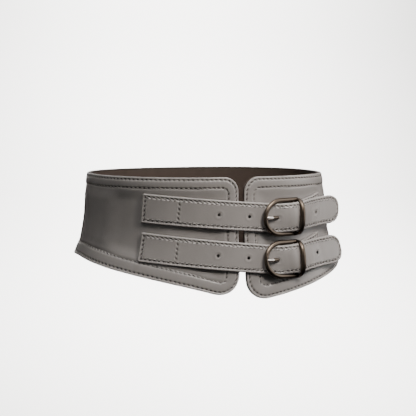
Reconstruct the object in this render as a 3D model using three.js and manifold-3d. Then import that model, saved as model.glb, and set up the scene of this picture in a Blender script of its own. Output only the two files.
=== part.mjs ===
// Wide waist belt, fastened as worn: a leather wrap with a raised border, two straps and two buckles.
// Millimetres. +Z is up, the front faces -Y, +X is the wearer's left.
// The origin is the middle of the waist hollow, level with the middle of the front.

import * as THREE from 'three';
import { mergeVertices } from 'three/addons/utils/BufferGeometryUtils.js';
import Module from 'manifold-3d';

const wasm = await Module();
wasm.setup();

// Waist form: the inner face of the wrap, a rounded oval that flares towards the hips
const WAIST_HALF_WIDTH = 121;
const WAIST_HALF_DEPTH = 86.8;
const OVAL_POWER = 2.15;
const FLARE_STEP = 50;
const SIDE_FLARE = [11, 12.4, 7];
const FRONT_FLARE = [1.3, 3.1];
const SIDEWAYS_LEAN = -0.05;

// Wrap: its outline is given by the length along the waist from the centre front
const WRAP_WALL = 2.4;
const FRONT_GAP = 5.4;
const TOP_EDGE = { side: 55.2, rise: 1.6, askew: 2.2 };
const BOTTOM_EDGE = { side: -26.5, drop: 36.5, reach: 165, power: 1.3, askew: 0.12 };
const TOP_CORNER = { across: 15, up: 15 };
const RIGHT_FOOT = { across: 21, up: 30 };
const LEFT_FOOT = { across: 16, up: 20 };
const WRAP_COLUMN = 10;
const WRAP_ROWS = 6;
const CORNER_STOPS = [15, 12, 9, 5.5, 2.8, 1, 0];

// Border strip
const SEAT_GAP = 0.3;
const BORDER_SEAT = 0.35;
const BORDER_WIDTH = 12;
const BORDER_WALL = 1.1;
const BORDER_INSET = 0.2;
const INNER_CORNER = 6;
const CORNER_STEPS = 6;
const BORDER_END_STEPS = 5;

// Straps
const STRAP_WIDTH = 27.5;
const STRAP_WALL = 2.6;
const HOLE_SIZE = 3;
const HOLES_FROM_PRONG = [-61, -30.5, 27.5, 55];
const TIP_PAST_LAST_HOLE = 34.5;
const TIP_LENGTH = 15;
const TIP_POWER = 2.2;
const TIP_STOPS = [0.3, 0.55, 0.76, 0.91, 0.98];
const STRAP_STEP = 6;
const STRAP_ROWS = 2;
const STRAP_ENDS_BEFORE = 125;
const MEASURING_STEP = 0.5;
const HOLE_SIDES = 12;

// Buckles, from the middle of the front bar to the middle of the heel bar
const ROD = 3.6;
const FRAME_HEIGHT = 37.8;
const FRONT_BAR_AT = 22;
const HEEL_BAR_AT = 53;
const FRONT_LIFT = 11.9;
const HEEL_BAR = 3.2;
const KEEPER_ROD = 4;
const KEEPER_SHIFT = 4.5;
const KEEPER_POWER = 4.6;
const KEEPER_LEAN = 0.12;
const KEEPER_CLEARANCE = 1.5;
const RAIL_AT = (FRAME_HEIGHT - ROD) / 2;
const RAIL_BEND = -6;
const ROD_SIDES = 10;
const FRAME_TURNS = 8;
const FRAME_STEPS = 36;
const KEEPER_TURNS = 16;
const KEEPER_STEPS = 20;
const KNUCKLE_ROWS = 6;
const PRONG_ROD = 2.4;
const PRONG_EYE_WIDTH = 4;
const PRONG_EYE_WALL = 1.2;
const PRONG_STEPS = 22;
const PRONG_SIDES = 8;
const ROUND_SIDES = 18;

// Tabs
const TAB_WIDTH = 24.5;
const TAB_LAYER = 1.25;
const TAB_SEAT = 0.15;
const TAB_FROM_BAR = 1;
const TAB_END_AT = 102;
const TAB_COLUMNS = 10;
const EYE_CLEARANCE = 1.1;
const PRONG_SLOT = 6;

// Each row: the strap's middle line falls to the buckle and rises past it, the tab's rises from the heel bar
// frameDrop sets the buckle a little lower, because the strap sags between its bars
// stretch turns a length on that row into a length on the waist line, because the waist flares below it
const ROWS = [
  {
    name: 'upper', height: 19.7, strapSlope: -0.0585, tipSlope: 0.08, tabSlope: 0.2,
    strapFrom: -95, prongHoleAt: 36.4, tipLift: 22, stretch: 1.02, frameDrop: 0.4,
  },
  {
    name: 'lower', height: -19.8, strapSlope: -0.088, tipSlope: 0.09, tabSlope: 0.26,
    strapFrom: -94, prongHoleAt: 35, tipLift: 16.5, stretch: 0.925, frameDrop: 1.1,
  },
];
const ROW_BEND = 12;
const SQUARING_PASSES = 3;

const BORDER_FACE = WRAP_WALL + BORDER_SEAT + BORDER_WALL;
const PANEL_SEAT = WRAP_WALL + SEAT_GAP;
const EYE_OUTER = HEEL_BAR / 2 + SEAT_GAP + TAB_LAYER;
const HEEL_LIFT = PANEL_SEAT + EYE_OUTER + EYE_CLEARANCE;
const STRAP_ON_BORDER = BORDER_FACE + SEAT_GAP;
const STRAP_ON_HEEL = HEEL_LIFT + EYE_OUTER + SEAT_GAP;

// Underside of the straps above the wrap's inner face: length along the waist from the centre front, lift
const STRAP_LIFT = [
  [-100, PANEL_SEAT + 0.1], [-60, PANEL_SEAT + 0.2], [-22, STRAP_ON_BORDER + 0.1],
  [20, STRAP_ON_BORDER + 0.1], [34, STRAP_ON_BORDER + 0.2], [43, 7.2],
  [51.5, STRAP_ON_HEEL + 0.25], [58, STRAP_ON_HEEL + 0.3], [70, 7.8], [80, 6.4], [90, 6.6], [98, 8.4],
];
const TIP_LIFT_AT = 122;

// How far the strap's middle stands above its edges where it climbs over the heel bar
const BOW_AT_HEEL = 1.3;
const STRAP_BOW = [[32, 0], [48, BOW_AT_HEEL], [60, BOW_AT_HEEL], [84, 0], [130, 0.6]];

const LEATHER = { color: 0x8a8683, roughness: 0.55, metalness: 0 };
const BORDER_LEATHER = { color: 0x858180, roughness: 0.55, metalness: 0 };
const METAL = { color: 0x4a4038, roughness: 0.28, metalness: 1 };

// Half width and half depth of the waist form at a height
function waistAt(height) {
  const step = -height / FLARE_STEP;
  const side = SIDE_FLARE[0] * step + SIDE_FLARE[1] * step ** 2 + SIDE_FLARE[2] * step ** 3;
  const front = FRONT_FLARE[0] * step + FRONT_FLARE[1] * step ** 2;
  return { width: WAIST_HALF_WIDTH + side, depth: WAIST_HALF_DEPTH + front };
}

// Point of the waist form at an angle from the front and a height, moved outwards level by a lift
function ovalPoint(angle, height, lift) {
  const { width, depth } = waistAt(height);
  const power = 2 / OVAL_POWER;
  const s = Math.sin(angle);
  const c = Math.cos(angle);
  const across = Math.sign(s) * Math.abs(s) ** power;
  const along = Math.sign(c) * Math.abs(c) ** power;
  const normal = new THREE.Vector2(
    (Math.sign(s) * Math.abs(s) ** (2 - power)) / width,
    (-Math.sign(c) * Math.abs(c) ** (2 - power)) / depth,
  ).normalize();
  const x = width * across + lift * normal.x + SIDEWAYS_LEAN * height;
  const y = -depth * along + lift * normal.y;
  return new THREE.Vector3(x, y, height);
}

// Length along the waist line against the angle from the front
const ARC_STEPS = 720;
const ARC = [0];
for (let i = 1; i <= ARC_STEPS; i += 1) {
  const before = ovalPoint(((i - 1) * Math.PI) / ARC_STEPS, 0, 0);
  const here = ovalPoint((i * Math.PI) / ARC_STEPS, 0, 0);
  ARC.push(ARC[i - 1] + here.distanceTo(before));
}
const HALF_WAIST = ARC[ARC_STEPS];

// Angle from the front at a length along the waist line
function angleAt(length) {
  const target = Math.min(Math.abs(length), HALF_WAIST);
  let low = 0;
  let high = ARC_STEPS;
  while (high - low > 1) {
    const middle = (low + high) >> 1;
    if (ARC[middle] <= target) low = middle;
    else high = middle;
  }
  const share = (target - ARC[low]) / (ARC[high] - ARC[low]);
  return (Math.sign(length) * (low + share) * Math.PI) / ARC_STEPS;
}

// Point of the belt: length along the waist from the centre front, height, lift off the inner face
function beltPoint(length, height, lift) {
  return ovalPoint(angleAt(length), height, lift);
}

// Smooth curve through a table's rows that never swings past them
function smoothTable(table, at) {
  const last = table.length - 1;
  const after = table.findIndex((row) => row[0] >= at);
  if (after <= 0) return table[after === 0 ? 0 : last][1];
  const rise = (i) => (table[i + 1][1] - table[i][1]) / (table[i + 1][0] - table[i][0]);
  const slope = (i) => {
    if (i === 0) return rise(0);
    if (i === last) return rise(last - 1);
    const product = rise(i - 1) * rise(i);
    return product <= 0 ? 0 : (2 * product) / (rise(i - 1) + rise(i));
  };
  const [x0, y0] = table[after - 1];
  const [x1, y1] = table[after];
  const span = x1 - x0;
  const t = (at - x0) / span;
  const ease = t * t * (3 - 2 * t);
  const lead = t * (1 - t) ** 2 * slope(after - 1) * span;
  const trail = t * t * (t - 1) * slope(after) * span;
  return y0 + (y1 - y0) * ease + lead + trail;
}

function topEdge(length) {
  const turn = (Math.PI * length) / HALF_WAIST;
  return TOP_EDGE.side + TOP_EDGE.rise * Math.cos(turn) + TOP_EDGE.askew * Math.sin(turn);
}

function bottomEdge(length) {
  const share = Math.max(0, 1 - Math.abs(length) / BOTTOM_EDGE.reach);
  const askew = BOTTOM_EDGE.askew * length * share ** 3;
  return BOTTOM_EDGE.side - BOTTOM_EDGE.drop * share ** BOTTOM_EDGE.power - askew;
}

// The wearer's right end of the wrap, where lengths are below zero, has the rounder foot
function cornerAt(top, side) {
  if (top) return TOP_CORNER;
  return side < 0 ? RIGHT_FOOT : LEFT_FOOT;
}

// How far a rounded corner takes the edge back at a distance from the end
function cornerCut(corner, distance) {
  const left = Math.max(0, 1 - distance / corner.across);
  return corner.up * (1 - Math.sqrt(1 - left ** 2));
}

// Joins the vertices that lie in one place
function weld(geometry) {
  const bare = geometry.clone();
  bare.deleteAttribute('normal');
  bare.deleteAttribute('uv');
  return mergeVertices(bare, 1e-4);
}

function toSolid(geometry) {
  const welded = weld(geometry);
  return new wasm.Manifold(new wasm.Mesh({
    numProp: 3,
    vertProperties: new Float32Array(welded.attributes.position.array),
    triVerts: new Uint32Array(welded.index.array),
  }));
}

function fromSolid(solid) {
  const mesh = solid.getMesh();
  const geometry = new THREE.BufferGeometry();
  geometry.setAttribute('position', new THREE.BufferAttribute(mesh.vertProperties, 3));
  geometry.setIndex(new THREE.BufferAttribute(mesh.triVerts, 1));
  return geometry;
}

// Moves every vertex of a geometry to the point that a function gives for it
function relay(geometry, place) {
  const position = geometry.attributes.position;
  for (let i = 0; i < position.count; i += 1) {
    const point = place(new THREE.Vector3().fromBufferAttribute(position, i), i);
    position.setXYZ(i, point.x, point.y, point.z);
  }
  return geometry;
}

function piece(name, geometry, look) {
  const clean = geometry.index ? weld(geometry) : mergeVertices(geometry);
  clean.computeVertexNormals();
  const mesh = new THREE.Mesh(clean, new THREE.MeshStandardMaterial(look));
  mesh.name = name;
  return mesh;
}

// Distance from the centre back of each column of the wrap, closer together at the rounded corners
function wrapColumns() {
  const end = HALF_WAIST - FRONT_GAP / 2;
  const straight = end - BORDER_WIDTH - INNER_CORNER;
  const count = Math.round(straight / WRAP_COLUMN);
  const half = [];
  for (let i = 0; i <= count; i += 1) half.push((straight * i) / count);
  for (const distance of CORNER_STOPS) half.push(end - distance);
  return [...half.slice(1).reverse().map((v) => -v), ...half];
}

// Centre back distance to length from the centre front
function fromBack(distance) {
  return distance >= 0 ? HALF_WAIST - distance : -HALF_WAIST - distance;
}

const COLUMNS = wrapColumns();

function wrapPanel() {
  const end = COLUMNS[COLUMNS.length - 1];
  const columns = COLUMNS.length - 1;
  const rows = WRAP_ROWS + 2;
  const box = new THREE.BoxGeometry(1, 1, 1, columns, rows, 1);
  return relay(box, (point) => {
    const distance = COLUMNS[Math.round((0.5 - point.x) * columns)];
    const row = Math.round((point.y + 0.5) * rows);
    const length = fromBack(distance);
    const toEnd = end - Math.abs(distance);
    const bottom = bottomEdge(length) + cornerCut(cornerAt(false, length), toEnd);
    const top = topEdge(length) - cornerCut(cornerAt(true, length), toEnd);
    const low = Math.min(bottom + BORDER_WIDTH, (bottom + top) / 2);
    const high = Math.max(top - BORDER_WIDTH, (bottom + top) / 2);
    let height = low + ((high - low) * (row - 1)) / WRAP_ROWS;
    if (row === 0) height = bottom;
    if (row === rows) height = top;
    return beltPoint(length, height, (0.5 + point.z) * WRAP_WALL);
  });
}

// Stations once round the border: outer and inner point of the strip, as centre back distance and height
function borderStations() {
  const end = HALF_WAIST - FRONT_GAP / 2 - BORDER_INSET;
  const width = BORDER_WIDTH - BORDER_INSET;
  const reach = width + INNER_CORNER;
  const stations = [];
  const inwards = (top) => (top ? -1 : 1);
  const edge = (distance, top) => {
    const height = top ? topEdge(fromBack(distance)) : bottomEdge(fromBack(distance));
    return height + inwards(top) * BORDER_INSET;
  };
  const straight = (top) => {
    const before = (distance) => end - Math.max(reach, cornerAt(top, distance).across);
    const places = COLUMNS.filter((distance) => Math.abs(distance) <= before(distance));
    if (!top) places.reverse();
    for (const distance of places) {
      const outer = edge(distance, top);
      stations.push([[distance, outer], [distance, outer + inwards(top) * width]]);
    }
  };
  const corner = (top, side, turnAt) => {
    const round = cornerAt(top, side);
    for (let i = 0; i <= CORNER_STEPS; i += 1) {
      const turn = (turnAt(i / CORNER_STEPS) * Math.PI) / 2;
      const outerAt = side * (end - round.across * (1 - Math.sin(turn)));
      const innerAt = side * (end - reach + INNER_CORNER * Math.sin(turn));
      const outer = edge(outerAt, top) + inwards(top) * round.up * (1 - Math.cos(turn));
      const inner = edge(innerAt, top) + inwards(top) * (reach - INNER_CORNER * Math.cos(turn));
      stations.push([[outerAt, outer], [innerAt, inner]]);
    }
  };
  const frontEnd = (top, side) => {
    const from = edge(side * end, top) + inwards(top) * Math.max(reach, cornerAt(top, side).up);
    const to = edge(side * end, !top) + inwards(!top) * Math.max(reach, cornerAt(!top, side).up);
    for (let i = 1; i < BORDER_END_STEPS; i += 1) {
      const height = from + ((to - from) * i) / BORDER_END_STEPS;
      stations.push([[side * end, height], [side * (end - width), height]]);
    }
  };
  for (const [top, side] of [[true, 1], [false, -1]]) {
    straight(top);
    corner(top, side, (share) => share);
    frontEnd(top, side);
    corner(!top, side, (share) => 1 - share);
  }
  return stations;
}

// Border: a ring with four edges, laid from station to station
function borderFrame() {
  const stations = borderStations();
  const under = BORDER_FACE - BORDER_WALL;
  const edges = [
    { inner: true, lift: BORDER_FACE }, { inner: true, lift: under },
    { inner: false, lift: under }, { inner: false, lift: BORDER_FACE },
  ];
  const ring = new THREE.TorusGeometry(10, 1, edges.length, stations.length);
  return relay(ring, (point, index) => {
    const edge = edges[Math.floor(index / (stations.length + 1)) % edges.length];
    const station = stations[(index % (stations.length + 1)) % stations.length];
    const [distance, height] = station[edge.inner ? 1 : 0];
    return beltPoint(fromBack(distance), height, edge.lift);
  });
}

// Height of the strap's middle line: it falls to the middle of the buckle and rises past it
function strapHeight(row, length) {
  const turn = ((FRONT_BAR_AT + HEEL_BAR_AT) / 2) * row.stretch;
  const left = row.height + row.strapSlope * length;
  const atTurn = row.height + row.strapSlope * turn;
  const right = atTurn + row.tipSlope * (length - turn);
  const share = THREE.MathUtils.smoothstep(length, turn - ROW_BEND, turn + ROW_BEND);
  return left * (1 - share) + right * share;
}

// Height of the tab's middle line: it rises from the heel bar
function tabHeight(row, length) {
  const heelAt = HEEL_BAR_AT * row.stretch;
  return strapHeight(row, heelAt) - row.frameDrop + row.tabSlope * (length - heelAt);
}

// Point beside a row's middle line: square to the line and truly that far off it in space
function besideMiddle(row, length, across, liftAt, heightAt = strapHeight) {
  const at = (place, side) => beltPoint(place, heightAt(row, place) + side, liftAt(place));
  const middle = at(length, 0);
  const along = at(length + 1, 0).sub(at(length - 1, 0)).normalize();
  let place = length;
  let side = across;
  for (let i = 0; i < SQUARING_PASSES; i += 1) {
    const gap = at(place, side).sub(middle);
    place -= gap.dot(along);
    if (across !== 0) side *= Math.abs(across) / gap.length();
  }
  return at(place, side);
}

// Point of a strap: length along the waist, distance above its middle line, lift off its underside
function strapPoint(row, length, across, lift) {
  const table = [...STRAP_LIFT, [TIP_LIFT_AT, row.tipLift]];
  const bow = smoothTable(STRAP_BOW, length / row.stretch) * (1 - (2 * across / STRAP_WIDTH) ** 2);
  return besideMiddle(row, length, across, (place) => smoothTable(table, place / row.stretch) + bow + lift);
}

// Runs along the strap's middle line, so that places on it are true lengths
function strapRun(row) {
  const run = [{ length: row.strapFrom, distance: 0 }];
  while (run[run.length - 1].length < STRAP_ENDS_BEFORE * row.stretch) {
    const last = run[run.length - 1];
    const next = last.length + MEASURING_STEP;
    const gap = strapPoint(row, next, 0, 0).distanceTo(strapPoint(row, last.length, 0, 0));
    run.push({ length: next, distance: last.distance + gap });
  }
  const lengthAt = (distance) => {
    const i = Math.max(1, run.findIndex((r) => r.distance >= distance));
    const share = (distance - run[i - 1].distance) / (run[i].distance - run[i - 1].distance);
    return run[i - 1].length + share * MEASURING_STEP;
  };
  const distanceAt = (length) => {
    const i = Math.max(1, run.findIndex((r) => r.length >= length));
    const share = (length - run[i - 1].length) / MEASURING_STEP;
    return run[i - 1].distance + share * (run[i].distance - run[i - 1].distance);
  };
  return { lengthAt, distanceAt };
}

// Place of a hole in the strap's wall: x along the strap, y straight through it
function strapFrame(row, length) {
  const along = strapPoint(row, length + 1, 0, 0).sub(strapPoint(row, length - 1, 0, 0)).normalize();
  const through = new THREE.Vector3().crossVectors(along, new THREE.Vector3(0, 0, 1)).normalize();
  const side = new THREE.Vector3().crossVectors(along, through);
  const middle = strapPoint(row, length, 0, STRAP_WALL / 2);
  return new THREE.Matrix4().makeBasis(along, through, side).setPosition(middle);
}

function strap(row) {
  const run = strapRun(row);
  const prongHole = run.distanceAt(row.prongHoleAt * row.stretch);
  const lastHole = prongHole + Math.max(...HOLES_FROM_PRONG);
  const total = lastHole + TIP_PAST_LAST_HOLE;
  const straight = total - TIP_LENGTH;
  const count = Math.round(straight / STRAP_STEP);
  const stops = [];
  for (let i = 0; i <= count; i += 1) stops.push((straight * i) / count);
  for (const share of TIP_STOPS) stops.push(straight + share * TIP_LENGTH);
  const columns = stops.length - 1;
  const box = new THREE.BoxGeometry(1, 1, 1, columns, STRAP_ROWS, 1);
  relay(box, (point) => {
    const distance = stops[Math.round((point.x + 0.5) * columns)];
    const past = Math.max(0, (distance - straight) / TIP_LENGTH);
    const half = (STRAP_WIDTH / 2) * (1 - past ** TIP_POWER) ** (1 / TIP_POWER);
    return strapPoint(row, run.lengthAt(distance), 2 * half * point.y, (0.5 + point.z) * STRAP_WALL);
  });
  let solid = toSolid(box);
  for (const fromProng of HOLES_FROM_PRONG) {
    const punch = new THREE.CylinderGeometry(HOLE_SIZE / 2, HOLE_SIZE / 2, 4 * STRAP_WALL, HOLE_SIDES);
    punch.applyMatrix4(strapFrame(row, run.lengthAt(prongHole + fromProng)));
    solid = solid.subtract(toSolid(punch));
  }
  const frame = buckleFrame(row);
  const passage = rodAlong(prongPath(frame), PRONG_ROD + 2 * SEAT_GAP, PRONG_STEPS, PRONG_SIDES);
  solid = solid.subtract(toSolid(passage.applyMatrix4(frame.matrix)));
  return fromSolid(solid);
}

// The buckle's own frame: from its heel bar, x towards the strap's tip, y up, z outwards
function buckleFrame(row) {
  const heelAt = HEEL_BAR_AT * row.stretch;
  const frontAt = FRONT_BAR_AT * row.stretch;
  const heel = besideMiddle(row, heelAt, 0, () => HEEL_LIFT);
  const along = heel.clone().sub(besideMiddle(row, frontAt, 0, () => FRONT_LIFT));
  const length = along.length();
  along.normalize();
  const low = besideMiddle(row, heelAt, -TAB_WIDTH / 2, () => HEEL_LIFT);
  const up = besideMiddle(row, heelAt, TAB_WIDTH / 2, () => HEEL_LIFT).sub(low).normalize();
  const out = new THREE.Vector3().crossVectors(along, up).normalize();
  const side = new THREE.Vector3().crossVectors(out, along);
  heel.addScaledVector(side, -row.frameDrop);
  const matrix = new THREE.Matrix4().makeBasis(along, side, out).setPosition(heel);
  return { matrix, length };
}

// Round rod along a curve
function rodAlong(path, diameter, steps, sides = ROD_SIDES) {
  const section = new THREE.Shape();
  section.absarc(0, 0, diameter / 2, 0, 2 * Math.PI);
  const curveSegments = sides / 2;
  return new THREE.ExtrudeGeometry(section, { steps, extrudePath: path, curveSegments, bevelEnabled: false });
}

// The frame's front: a half ring in front of the strap and two straight rails back to the keeper
function frameRod(frame) {
  const points = [];
  for (const at of [KEEPER_SHIFT, RAIL_BEND]) points.push(new THREE.Vector3(at, RAIL_AT, 0));
  for (let i = 0; i <= FRAME_TURNS; i += 1) {
    const turn = Math.PI / 2 + (Math.PI * i) / FRAME_TURNS;
    const at = RAIL_AT * (1 + Math.cos(turn)) - frame.length;
    points.push(new THREE.Vector3(at, RAIL_AT * Math.sin(turn), 0));
  }
  for (const at of [RAIL_BEND, KEEPER_SHIFT]) points.push(new THREE.Vector3(at, -RAIL_AT, 0));
  return rodAlong(new THREE.CatmullRomCurve3(points, false, 'centripetal'), ROD, FRAME_STEPS);
}

// The keeper arch stands over the strap: a superellipse from rail to rail
function keeperRod() {
  const strapTop = STRAP_ON_HEEL + BOW_AT_HEEL + STRAP_WALL - HEEL_LIFT;
  const rise = strapTop + KEEPER_ROD / 2 + KEEPER_CLEARANCE;
  const points = [];
  for (let i = 0; i <= KEEPER_TURNS; i += 1) {
    const turn = (Math.PI * i) / KEEPER_TURNS;
    const across = Math.sign(Math.cos(turn)) * Math.abs(Math.cos(turn)) ** (2 / KEEPER_POWER);
    const z = rise * Math.sin(turn) ** (2 / KEEPER_POWER);
    points.push(new THREE.Vector3(KEEPER_SHIFT + KEEPER_LEAN * z, -RAIL_AT * across, z));
  }
  return rodAlong(new THREE.CatmullRomCurve3(points, false, 'centripetal'), KEEPER_ROD, KEEPER_STEPS);
}

function buckle(row) {
  const frame = buckleFrame(row);
  let solid = toSolid(frameRod(frame));
  solid = solid.add(toSolid(keeperRod()));
  const bar = new THREE.CylinderGeometry(HEEL_BAR / 2, HEEL_BAR / 2, 2 * RAIL_AT, ROD_SIDES);
  solid = solid.add(toSolid(bar));
  for (const side of [-1, 1]) {
    const knuckle = new THREE.SphereGeometry(KEEPER_ROD / 2, ROD_SIDES, KNUCKLE_ROWS);
    knuckle.translate(KEEPER_SHIFT, side * RAIL_AT, 0);
    solid = solid.add(toSolid(knuckle));
  }
  return fromSolid(solid).applyMatrix4(frame.matrix);
}

// Middle line of the prong in the buckle's frame: under the strap, up through its hole, onto the front bar
function prongPath(frame) {
  const front = -frame.length;
  const rest = ROD / 2 + SEAT_GAP + PRONG_ROD / 2;
  const points = [
    [-HEEL_BAR / 2 - SEAT_GAP - PRONG_EYE_WALL / 2, -0.4], [-6, -2], [-10, -2.9], [-13.5, -2.6], [-17, -1.1],
    [-20.5, 0.9], [-25, 2.6], [front + 2, rest + 0.1], [front, rest], [front - 1.4, rest - 0.1],
  ];
  return new THREE.CatmullRomCurve3(points.map(([x, z]) => new THREE.Vector3(x, 0, z)), false, 'centripetal');
}

function prong(row) {
  const frame = buckleFrame(row);
  const inner = HEEL_BAR / 2 + SEAT_GAP;
  const outer = inner + PRONG_EYE_WALL;
  let solid = toSolid(rodAlong(prongPath(frame), PRONG_ROD, PRONG_STEPS, PRONG_SIDES));
  const eye = new THREE.LatheGeometry([
    new THREE.Vector2(inner, -PRONG_EYE_WIDTH / 2), new THREE.Vector2(outer, -PRONG_EYE_WIDTH / 2),
    new THREE.Vector2(outer, PRONG_EYE_WIDTH / 2), new THREE.Vector2(inner, PRONG_EYE_WIDTH / 2),
    new THREE.Vector2(inner, -PRONG_EYE_WIDTH / 2),
  ], ROUND_SIDES);
  solid = solid.add(toSolid(eye));
  const bore = new THREE.CylinderGeometry(inner, inner, 2 * PRONG_EYE_WIDTH, ROUND_SIDES);
  solid = solid.subtract(toSolid(bore));
  return fromSolid(solid).applyMatrix4(frame.matrix);
}

// Tab: a flat double strip that lies on the wrap, with a rolled eye round the heel bar
function tab(row) {
  const from = (HEEL_BAR_AT + TAB_FROM_BAR) * row.stretch;
  const to = TAB_END_AT * row.stretch;
  const box = new THREE.BoxGeometry(1, 1, 1, TAB_COLUMNS, 2, 1);
  relay(box, (point) => {
    const lift = PANEL_SEAT + TAB_SEAT + (0.5 + point.z) * 2 * TAB_LAYER;
    const length = from + (to - from) * (point.x + 0.5);
    return besideMiddle(row, length, point.y * TAB_WIDTH, () => lift, tabHeight);
  });
  const frame = buckleFrame(row);
  const eye = new THREE.CylinderGeometry(EYE_OUTER, EYE_OUTER, TAB_WIDTH, ROUND_SIDES);
  eye.applyMatrix4(frame.matrix);
  let solid = toSolid(box).add(toSolid(eye));
  const inner = EYE_OUTER - TAB_LAYER;
  const bore = new THREE.CylinderGeometry(inner, inner, 2 * TAB_WIDTH, ROUND_SIDES);
  const slot = new THREE.BoxGeometry(3 * EYE_OUTER, PRONG_SLOT, 4 * EYE_OUTER);
  for (const cut of [bore, slot]) solid = solid.subtract(toSolid(cut.applyMatrix4(frame.matrix)));
  return fromSolid(solid);
}

const belt = new THREE.Group();
belt.add(piece('wrap_panel', wrapPanel(), LEATHER));
belt.add(piece('border_frame', borderFrame(), BORDER_LEATHER));
for (const row of ROWS) {
  belt.add(piece(`${row.name}_strap`, strap(row), LEATHER));
  belt.add(piece(`${row.name}_buckle_frame`, buckle(row), METAL));
  belt.add(piece(`${row.name}_prong`, prong(row), METAL));
  belt.add(piece(`${row.name}_buckle_tab`, tab(row), LEATHER));
}

export default belt;
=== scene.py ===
"""A wide leather waist belt, fastened as worn: a stitched wrap, two straps and two buckles.

Metres. +Z is up, the front faces -Y and +X is the wearer's left. The origin is the middle of the
waist hollow. The belt is laid out flat first, by the length along the waist from the centre front,
the height and the lift off the wearer, and these three are then turned into places in space.
"""

import math

import bpy
import numpy as np
from bpy.props import FloatProperty, FloatVectorProperty, PointerProperty
from mathutils import Matrix, Vector


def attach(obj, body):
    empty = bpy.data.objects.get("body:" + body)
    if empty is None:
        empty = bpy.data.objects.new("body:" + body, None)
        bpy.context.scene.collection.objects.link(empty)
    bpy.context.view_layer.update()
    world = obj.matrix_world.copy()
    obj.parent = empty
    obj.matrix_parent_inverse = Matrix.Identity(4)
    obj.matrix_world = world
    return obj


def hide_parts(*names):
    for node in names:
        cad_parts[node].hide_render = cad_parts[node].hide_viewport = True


bl_info = {
    "name": "Wide Waist Belt",
    "version": (1, 0, 0),
    "blender": (4, 5, 0),
    "location": "3D View > Sidebar > Belt",
    "description": "Builds a wide leather waist belt with two buckled straps",
    "category": "Object",
}

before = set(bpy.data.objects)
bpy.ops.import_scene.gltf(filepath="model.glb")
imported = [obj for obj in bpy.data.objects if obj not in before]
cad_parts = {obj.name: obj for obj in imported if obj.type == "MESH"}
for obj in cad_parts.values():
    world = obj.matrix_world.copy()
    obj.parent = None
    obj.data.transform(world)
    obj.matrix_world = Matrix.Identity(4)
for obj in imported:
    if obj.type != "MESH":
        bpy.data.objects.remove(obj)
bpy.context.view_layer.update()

MM = 0.001
UP = (0.0, 0.0, 1.0)

# Steps of the measured waist, passes that square a place to a line, and the gap between two pieces
ARC_STEPS = 720
SQUARING_PASSES = 3
CLEARANCE = 0.0003

# How the wrap widens away from its middle height, as powers of the height over FLARE_STEP
FLARE_STEP = 0.05
SIDE_FLARE = (0.011, 0.0124, 0.007)
FRONT_FLARE = (0.0013, 0.0031)

# Corners of the wrap: how far each reaches along the edge and up the front end
TOP_CORNER = (0.015, 0.015)
RIGHT_FOOT = (0.021, 0.030)
LEFT_FOOT = (0.016, 0.020)
CORNER_BLEND = 0.002

# Distance between points along the edge of the wrap and of the strip, and the lengths that set how
# many points a front end and half a corner have
WRAP_SPACING = 0.0016
BORDER_SPACING = 0.0009
END_SPAN = 0.08
CORNER_SPAN = 0.012

# Rounded edges of the leather: how far in they start, how square they are and how many rings they have
WRAP_EDGE = (0.0009, 2.2, 11)
BORDER_EDGE = (0.0012, 2.0, 7)
STRAP_EDGE = (0.0011, 2.3, 9)
TAB_EDGE = (0.0007, 2.5, 9)

# Rims where the coat is stretched and a painted highlight makes it paler: the inset of the palest line,
# half its width, and the share of the thickness above which it shows
BORDER_STRETCH_AND_HIGHLIGHT = (0.0013, 0.0009, 0.3)
STRAP_STRETCH_AND_HIGHLIGHT = (0.0010, 0.0009, -0.2)
TAB_STRETCH_AND_HIGHLIGHT = (0.0008, 0.0008, 0.4)

# A point is on a piece's face where its share of the thickness is above this
ON_FACE = 0.99

# The smallest reach of a corner, steps of a rod's round cap, and sides of a thick and of a slim rod
SMALLEST_CORNER = 0.00025
CAP_STEPS = 5
ROD_SIDES = 24
SLIM_SIDES = 20

# Stitches: rings along one, as shares of half its length, with their thickness and number of sides
STITCH_RINGS = (-0.93, -0.66, -0.25, 0.25, 0.66, 0.93)
STITCH_SIZES = (0.55, 0.9, 1.0, 1.0, 0.9, 0.55)
THREAD_SIDES = 6

# The step that finds a seam's way inwards. Then the shares of the leather's swelling beside a row: lost
# at a needle hole, kept on the patch inside the rings, and shown as stretched coat with a painted highlight
SEAM_STEP = 0.0004
SWELL_LOST_AT_HOLE = 0.75
SWELL_ON_PATCH = 0.6
SWELL_PULL_AND_HIGHLIGHT = 0.6

# The wrap's face: it starts to swell a little outside the strip's inner edge, and its bulge grows over
# a length up to the straps' end, counted from a line this far to the wearer's right of the centre front
SWELL_OUTSIDE = 0.0005
BULGE_GROWS = 0.02
BULGE_CENTRE = 0.01

# The height above and below the middle where the inner row's drift is whole
DRIFT_HEIGHT = 0.03

# Rings of the strip's face: beside a row, between the two rows and this far from them, and where the
# inner edge rolls down to the wrap. Then the ring that is tucked on the wrap, and those underneath
BESIDE_ROW = (-0.0011, -0.0007, -0.00035, 0.0, 0.00035, 0.0007, 0.0011)
CLEAR_OF_ROW = 0.0018
BAND_RINGS = 8
ROLL_FROM = 0.0009
ROLL_REACH = 0.0012
ROLL_RINGS = 6
ROLL_DEPTH = 0.999
TUCKED = -2.0
TUCKED_PAST = 0.0003
TUCKED_LIFT = 0.00002
BORDER_UNDER = (0.008, 0.004)

# Each row of strap and buckle. Slopes are rises per length along the waist
ROWS = (
    {
        "name": "upper", "height": 0.0195, "strap_slope": -0.0585, "tip_slope": 0.08, "tab_slope": 0.2,
        "strap_from": -0.0957, "prong_hole_at": 0.0364, "tip_lift": 0.022, "stretch": 1.02,
        "frame_drop": 0.0004,
    },
    {
        "name": "lower", "height": -0.0198, "strap_slope": -0.088, "tip_slope": 0.105, "tab_slope": 0.26,
        "strap_from": -0.094, "prong_hole_at": 0.035, "tip_lift": 0.0165, "stretch": 0.925,
        "frame_drop": 0.0011,
    },
)

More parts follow.
